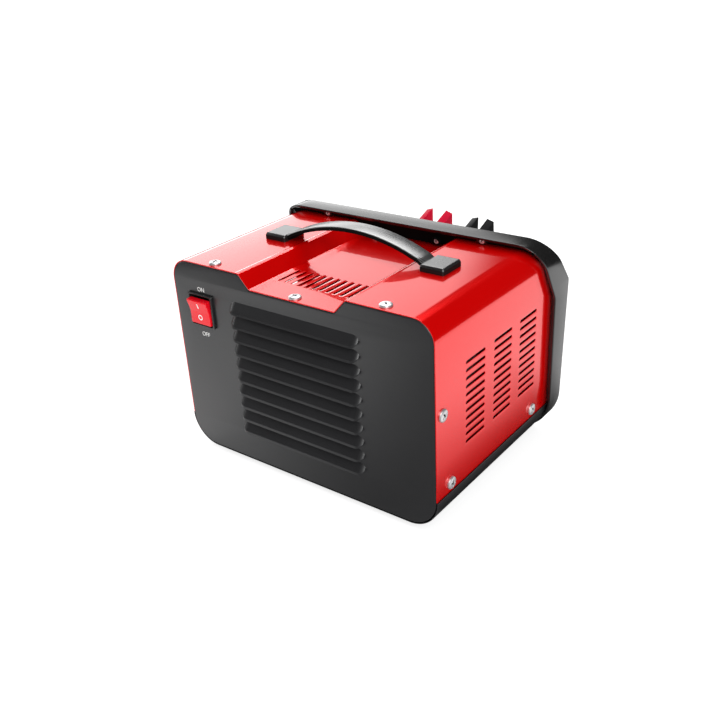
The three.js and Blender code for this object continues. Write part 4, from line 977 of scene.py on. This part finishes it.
def dial_marks():
    """Tick marks on an arc about the needle's pivot: short bars turned to point at it, longer at every
    fifth, and a thin arc band under them."""
    count, radius, band_width = 21, 27.0, 0.4
    ticks = np.radians(np.linspace(-METER_SWING, METER_SWING, count))
    along = np.stack([np.sin(ticks), np.cos(ticks)], -1)
    across = np.stack([np.cos(ticks), -np.sin(ticks)], -1)
    fifth = np.arange(count) % 5 == 0
    length, wide = np.where(fifth, 3.4, 1.9), np.where(fifth, 0.28, 0.16)
    corners = ((0, -1), (0, 1), (1, 1), (1, -1))
    bars = np.stack([along * (radius + length * out)[:, None] + across * (wide * side)[:, None]
                     for out, side in corners], 1)
    sweep = np.radians(np.linspace(-METER_SWING, METER_SWING, 43))
    band = np.stack([np.stack([np.sin(sweep), np.cos(sweep)], -1) * r for r in (radius - band_width, radius)])
    return joined((level_ring(bars.reshape(-1, 2), 0.0), np.arange(4 * count).reshape(-1, 4)),
                  (level_ring(band.reshape(-1, 2), 0.0), quads(2, len(sweep))))


piece("ammeter_scale", moved(dial_marks(), (METER_X, METER_Y, METER_Z), FACING_FRONT), INK,
      sheet=0.05, settle=False)
for number, angle in zip((0, 5, 10, 15, 20), np.radians(np.linspace(-METER_SWING, METER_SWING, 5))):
    spot = (METER_X + 33.2 * math.sin(angle), METER_Y, METER_Z + 33.2 * math.cos(angle))
    lettering(str(number), 4.2, INK, spot, FACING_FRONT, f"ammeter_number_{number}", 0.02)
lettering("A", 6.5, INK, (METER_X, METER_Y, 84), FACING_FRONT, "ammeter_unit", 0.02)
eased("ammeter_needle", NEEDLE, "needle", bevel=0.15)


# ---- clamps ----


def torsion_spring(x, z):
    """A round wire carried along a helix about the clamp's pin."""
    turns, pitch, radius, wire = 5, 1.95, 3.6, 0.72
    t = np.linspace(0, turns, turns * 32 + 1)
    a = t * 2 * np.pi
    centre = np.stack([radius * np.cos(a), (t - turns / 2) * pitch, radius * np.sin(a)], -1)
    out = np.stack([np.cos(a), 0 * a, np.sin(a)], -1)
    along = np.gradient(centre, axis=0)
    along /= np.linalg.norm(along, axis=1)[:, None]
    side = np.cross(along, out)
    w = np.linspace(0, 2 * np.pi, 12, endpoint=False)[None, :, None]
    rings = centre[:, None] + wire * (np.cos(w) * out[:, None] + np.sin(w) * side[:, None])
    return moved(closed(rings), (x, CLAMP_Y, z))


for colour, sleeve, roughness in (("red", (0.60, 0.001, 0.03), 0.42), ("black", (0.012, 0.012, 0.013), 0.4)):
    finish = clamp_finish(colour, sleeve, roughness, CLAMPS[colour][1])
    eased(f"clamp_{colour}_fixed", finish, bevel=0.35)
    eased(f"clamp_{colour}_moving", finish, f"{colour}_clamp_half", bevel=0.35)
    eased(f"clamp_{colour}_pin", ZINC, bevel=0.2)
for colour, spot in CLAMPS.items():
    piece(f"spring_{colour}", torsion_spring(*spot), ZINC, (f"clamp_{colour}_spring",))


# ---- what keeps its own solid, with a finish ----

KEPT = {
    "front_panel": BLACK, "selector_body": HOUSING, "transformer_core": core_laminations(),
    "transformer_bracket": ALUMINIUM, "primary_winding": wound_copper("primary_wire", (0.42, 0.12, 0.03)),
    "secondary_winding": wound_copper("secondary_wire", (0.46, 0.16, 0.05)), "rectifier_plate": ALUMINIUM,
    "diode_rear": ZINC, "diode_front": ZINC, "terminal_block": CERAMIC, "thermal_breaker": HOUSING,
}
for node, finish in KEPT.items():
    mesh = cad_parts[node].data
    mesh.materials.clear()
    mesh.materials.append(finish.material)


# ---- studio ----


def paper_floor():
    """A pale floor that ends out of sight. The camera sees paper that turns white away from the part. A
    mirror sees painted light on it: a glow near the part, with painted shade right next to the part except
    behind it, a painted shadow that dims it behind on one side, and dark elsewhere."""
    mesh = bpy.data.meshes.new("floor")
    mesh.from_pydata([(-6, -6, 0), (6, -6, 0), (6, 6, 0), (-6, 6, 0)], [], [(0, 1, 2, 3)])
    floor = placed("floor", mesh)
    paper = {"Specular IOR Level": 0.0, "Emission Strength": 1.0}
    f = Finish("floor_paper", None, (0.5, 0.5, 0.5), 0.9, **paper)
    eye, mirror, _ = f.rays()
    x, y, _ = f.axes()
    away = (x.abs() - 122.0).most(y.abs() - 95.0)
    behind = y.step(60.0, 100.0)
    # Painted shade for mirrors: no glow right next to the part, except behind it.
    near = away.step(0.0, 115.0).most(behind)
    # Painted shadow for mirrors, behind the part on one side.
    shadow = behind * (1.0 - x.step(-80.0, 190.0)) * 0.85
    glow = near * (1.0 - away.step(380.0, 520.0)) * (1.0 - shadow)
    seen = f.blend((0.74, 0.74, 0.74), (1, 1, 1), eye * away.step(250.0, 900.0))
    f.drive("Emission Color", f.blend((0, 0, 0), seen, 1.0 - mirror * (1.0 - glow * 0.74)))
    # Painted reflection: mirrors see the floor dark where it does not glow.
    f.colour((0.5, 0.5, 0.5), (0.02, 0.02, 0.02), mirror * (1.0 - glow))
    f.material.cycles.emission_sampling = "NONE"
    mesh.materials.append(f.material)


def room():
    """A dim room that looks white to the camera. A mirror sees a dark room with two soft boxes in it: a
    wide low one in front on one side, and a faint one behind."""
    world = bpy.data.worlds.new("studio")
    bpy.context.scene.world = world
    world.use_nodes = True
    world.cycles.sampling_method = "NONE"
    f = Finish.of_tree(world.node_tree)
    eye, mirror, through = f.rays()
    way = f.add("ShaderNodeTexCoord", output="Generated")
    x, y, z = (f.add("ShaderNodeSeparateXYZ", {}, {0: way}, i) for i in range(3))
    aside, ahead = x * 0.883 + y * 0.469, 0.0 - y * 0.985 - x * 0.174
    low_box = z.step(0.02, 0.07) * (1.0 - z.step(0.50, 0.62)) * aside.step(-0.02, 0.05)
    low_box = low_box * ahead.step(0.0, 0.2) * (1.0 + (1.0 - z.step(0.15, 0.32)) * 0.8)
    low_box = low_box * (0.75 + aside.step(0.0, 0.36) * 0.5)
    back_box = z.step(0.05, 0.12) * (1.0 - z.step(0.35, 0.5)) * y.step(0.45, 0.75) * (1.0 - x.step(-0.1, 0.2))
    picture = 0.01 + low_box * 1.5 + back_box * 0.6
    seen = eye.most(through)
    light = f.tree.nodes["Background"]
    light.inputs["Color"].default_value = (1, 1, 1, 1)
    f.feed(light.inputs["Strength"], seen + (1.0 - seen) * (mirror * picture + (1.0 - mirror) * 0.45))


def lamp(name, way, distance, size, radiance):
    """A square soft lamp at a distance from the middle of the part, pointing at it."""
    data = bpy.data.lights.new(name, "AREA")
    data.shape, data.size, data.size_y = "RECTANGLE", size, size
    data.energy = radiance * math.pi * size * size
    obj, middle = placed(name, data), Vector((0, 0, 0.09))
    obj.location = middle + Vector(way).normalized() * distance
    obj.rotation_euler = (middle - obj.location).to_track_quat("-Z", "Z").to_euler()


def camera():
    """The photograph's viewpoint: seen from behind and above, rolled by 3.2 degrees, with a long lens."""
    azimuth, elevation, roll = math.radians(218.30), math.radians(26.73), math.radians(-3.21)
    turn = (Matrix.Rotation(azimuth, 4, "Z") @ Matrix.Rotation(math.pi / 2 - elevation, 4, "X")
            @ Matrix.Rotation(roll, 4, "Z"))
    data = bpy.data.cameras.new("camera")
    data.lens, data.sensor_width, data.clip_start = 44.446, 36.0, 0.01
    obj = placed("camera", data)
    obj.matrix_world = Matrix.Translation((-0.40143, 0.52189, 0.40515)) @ turn
    bpy.context.scene.camera = obj


paper_floor()
room()
lamp("key_lamp", (-0.62, 0.47, 0.53), 1.8, 1.15, 4.2)
lamp("top_lamp", (0.30, -0.50, 0.90), 1.7, 1.1, 3.6)
lamp("side_lamp", (1.2, 0.25, 0.45), 1.9, 0.8, 2.5)
camera()
bpy.context.scene.view_settings.view_transform = "Standard"
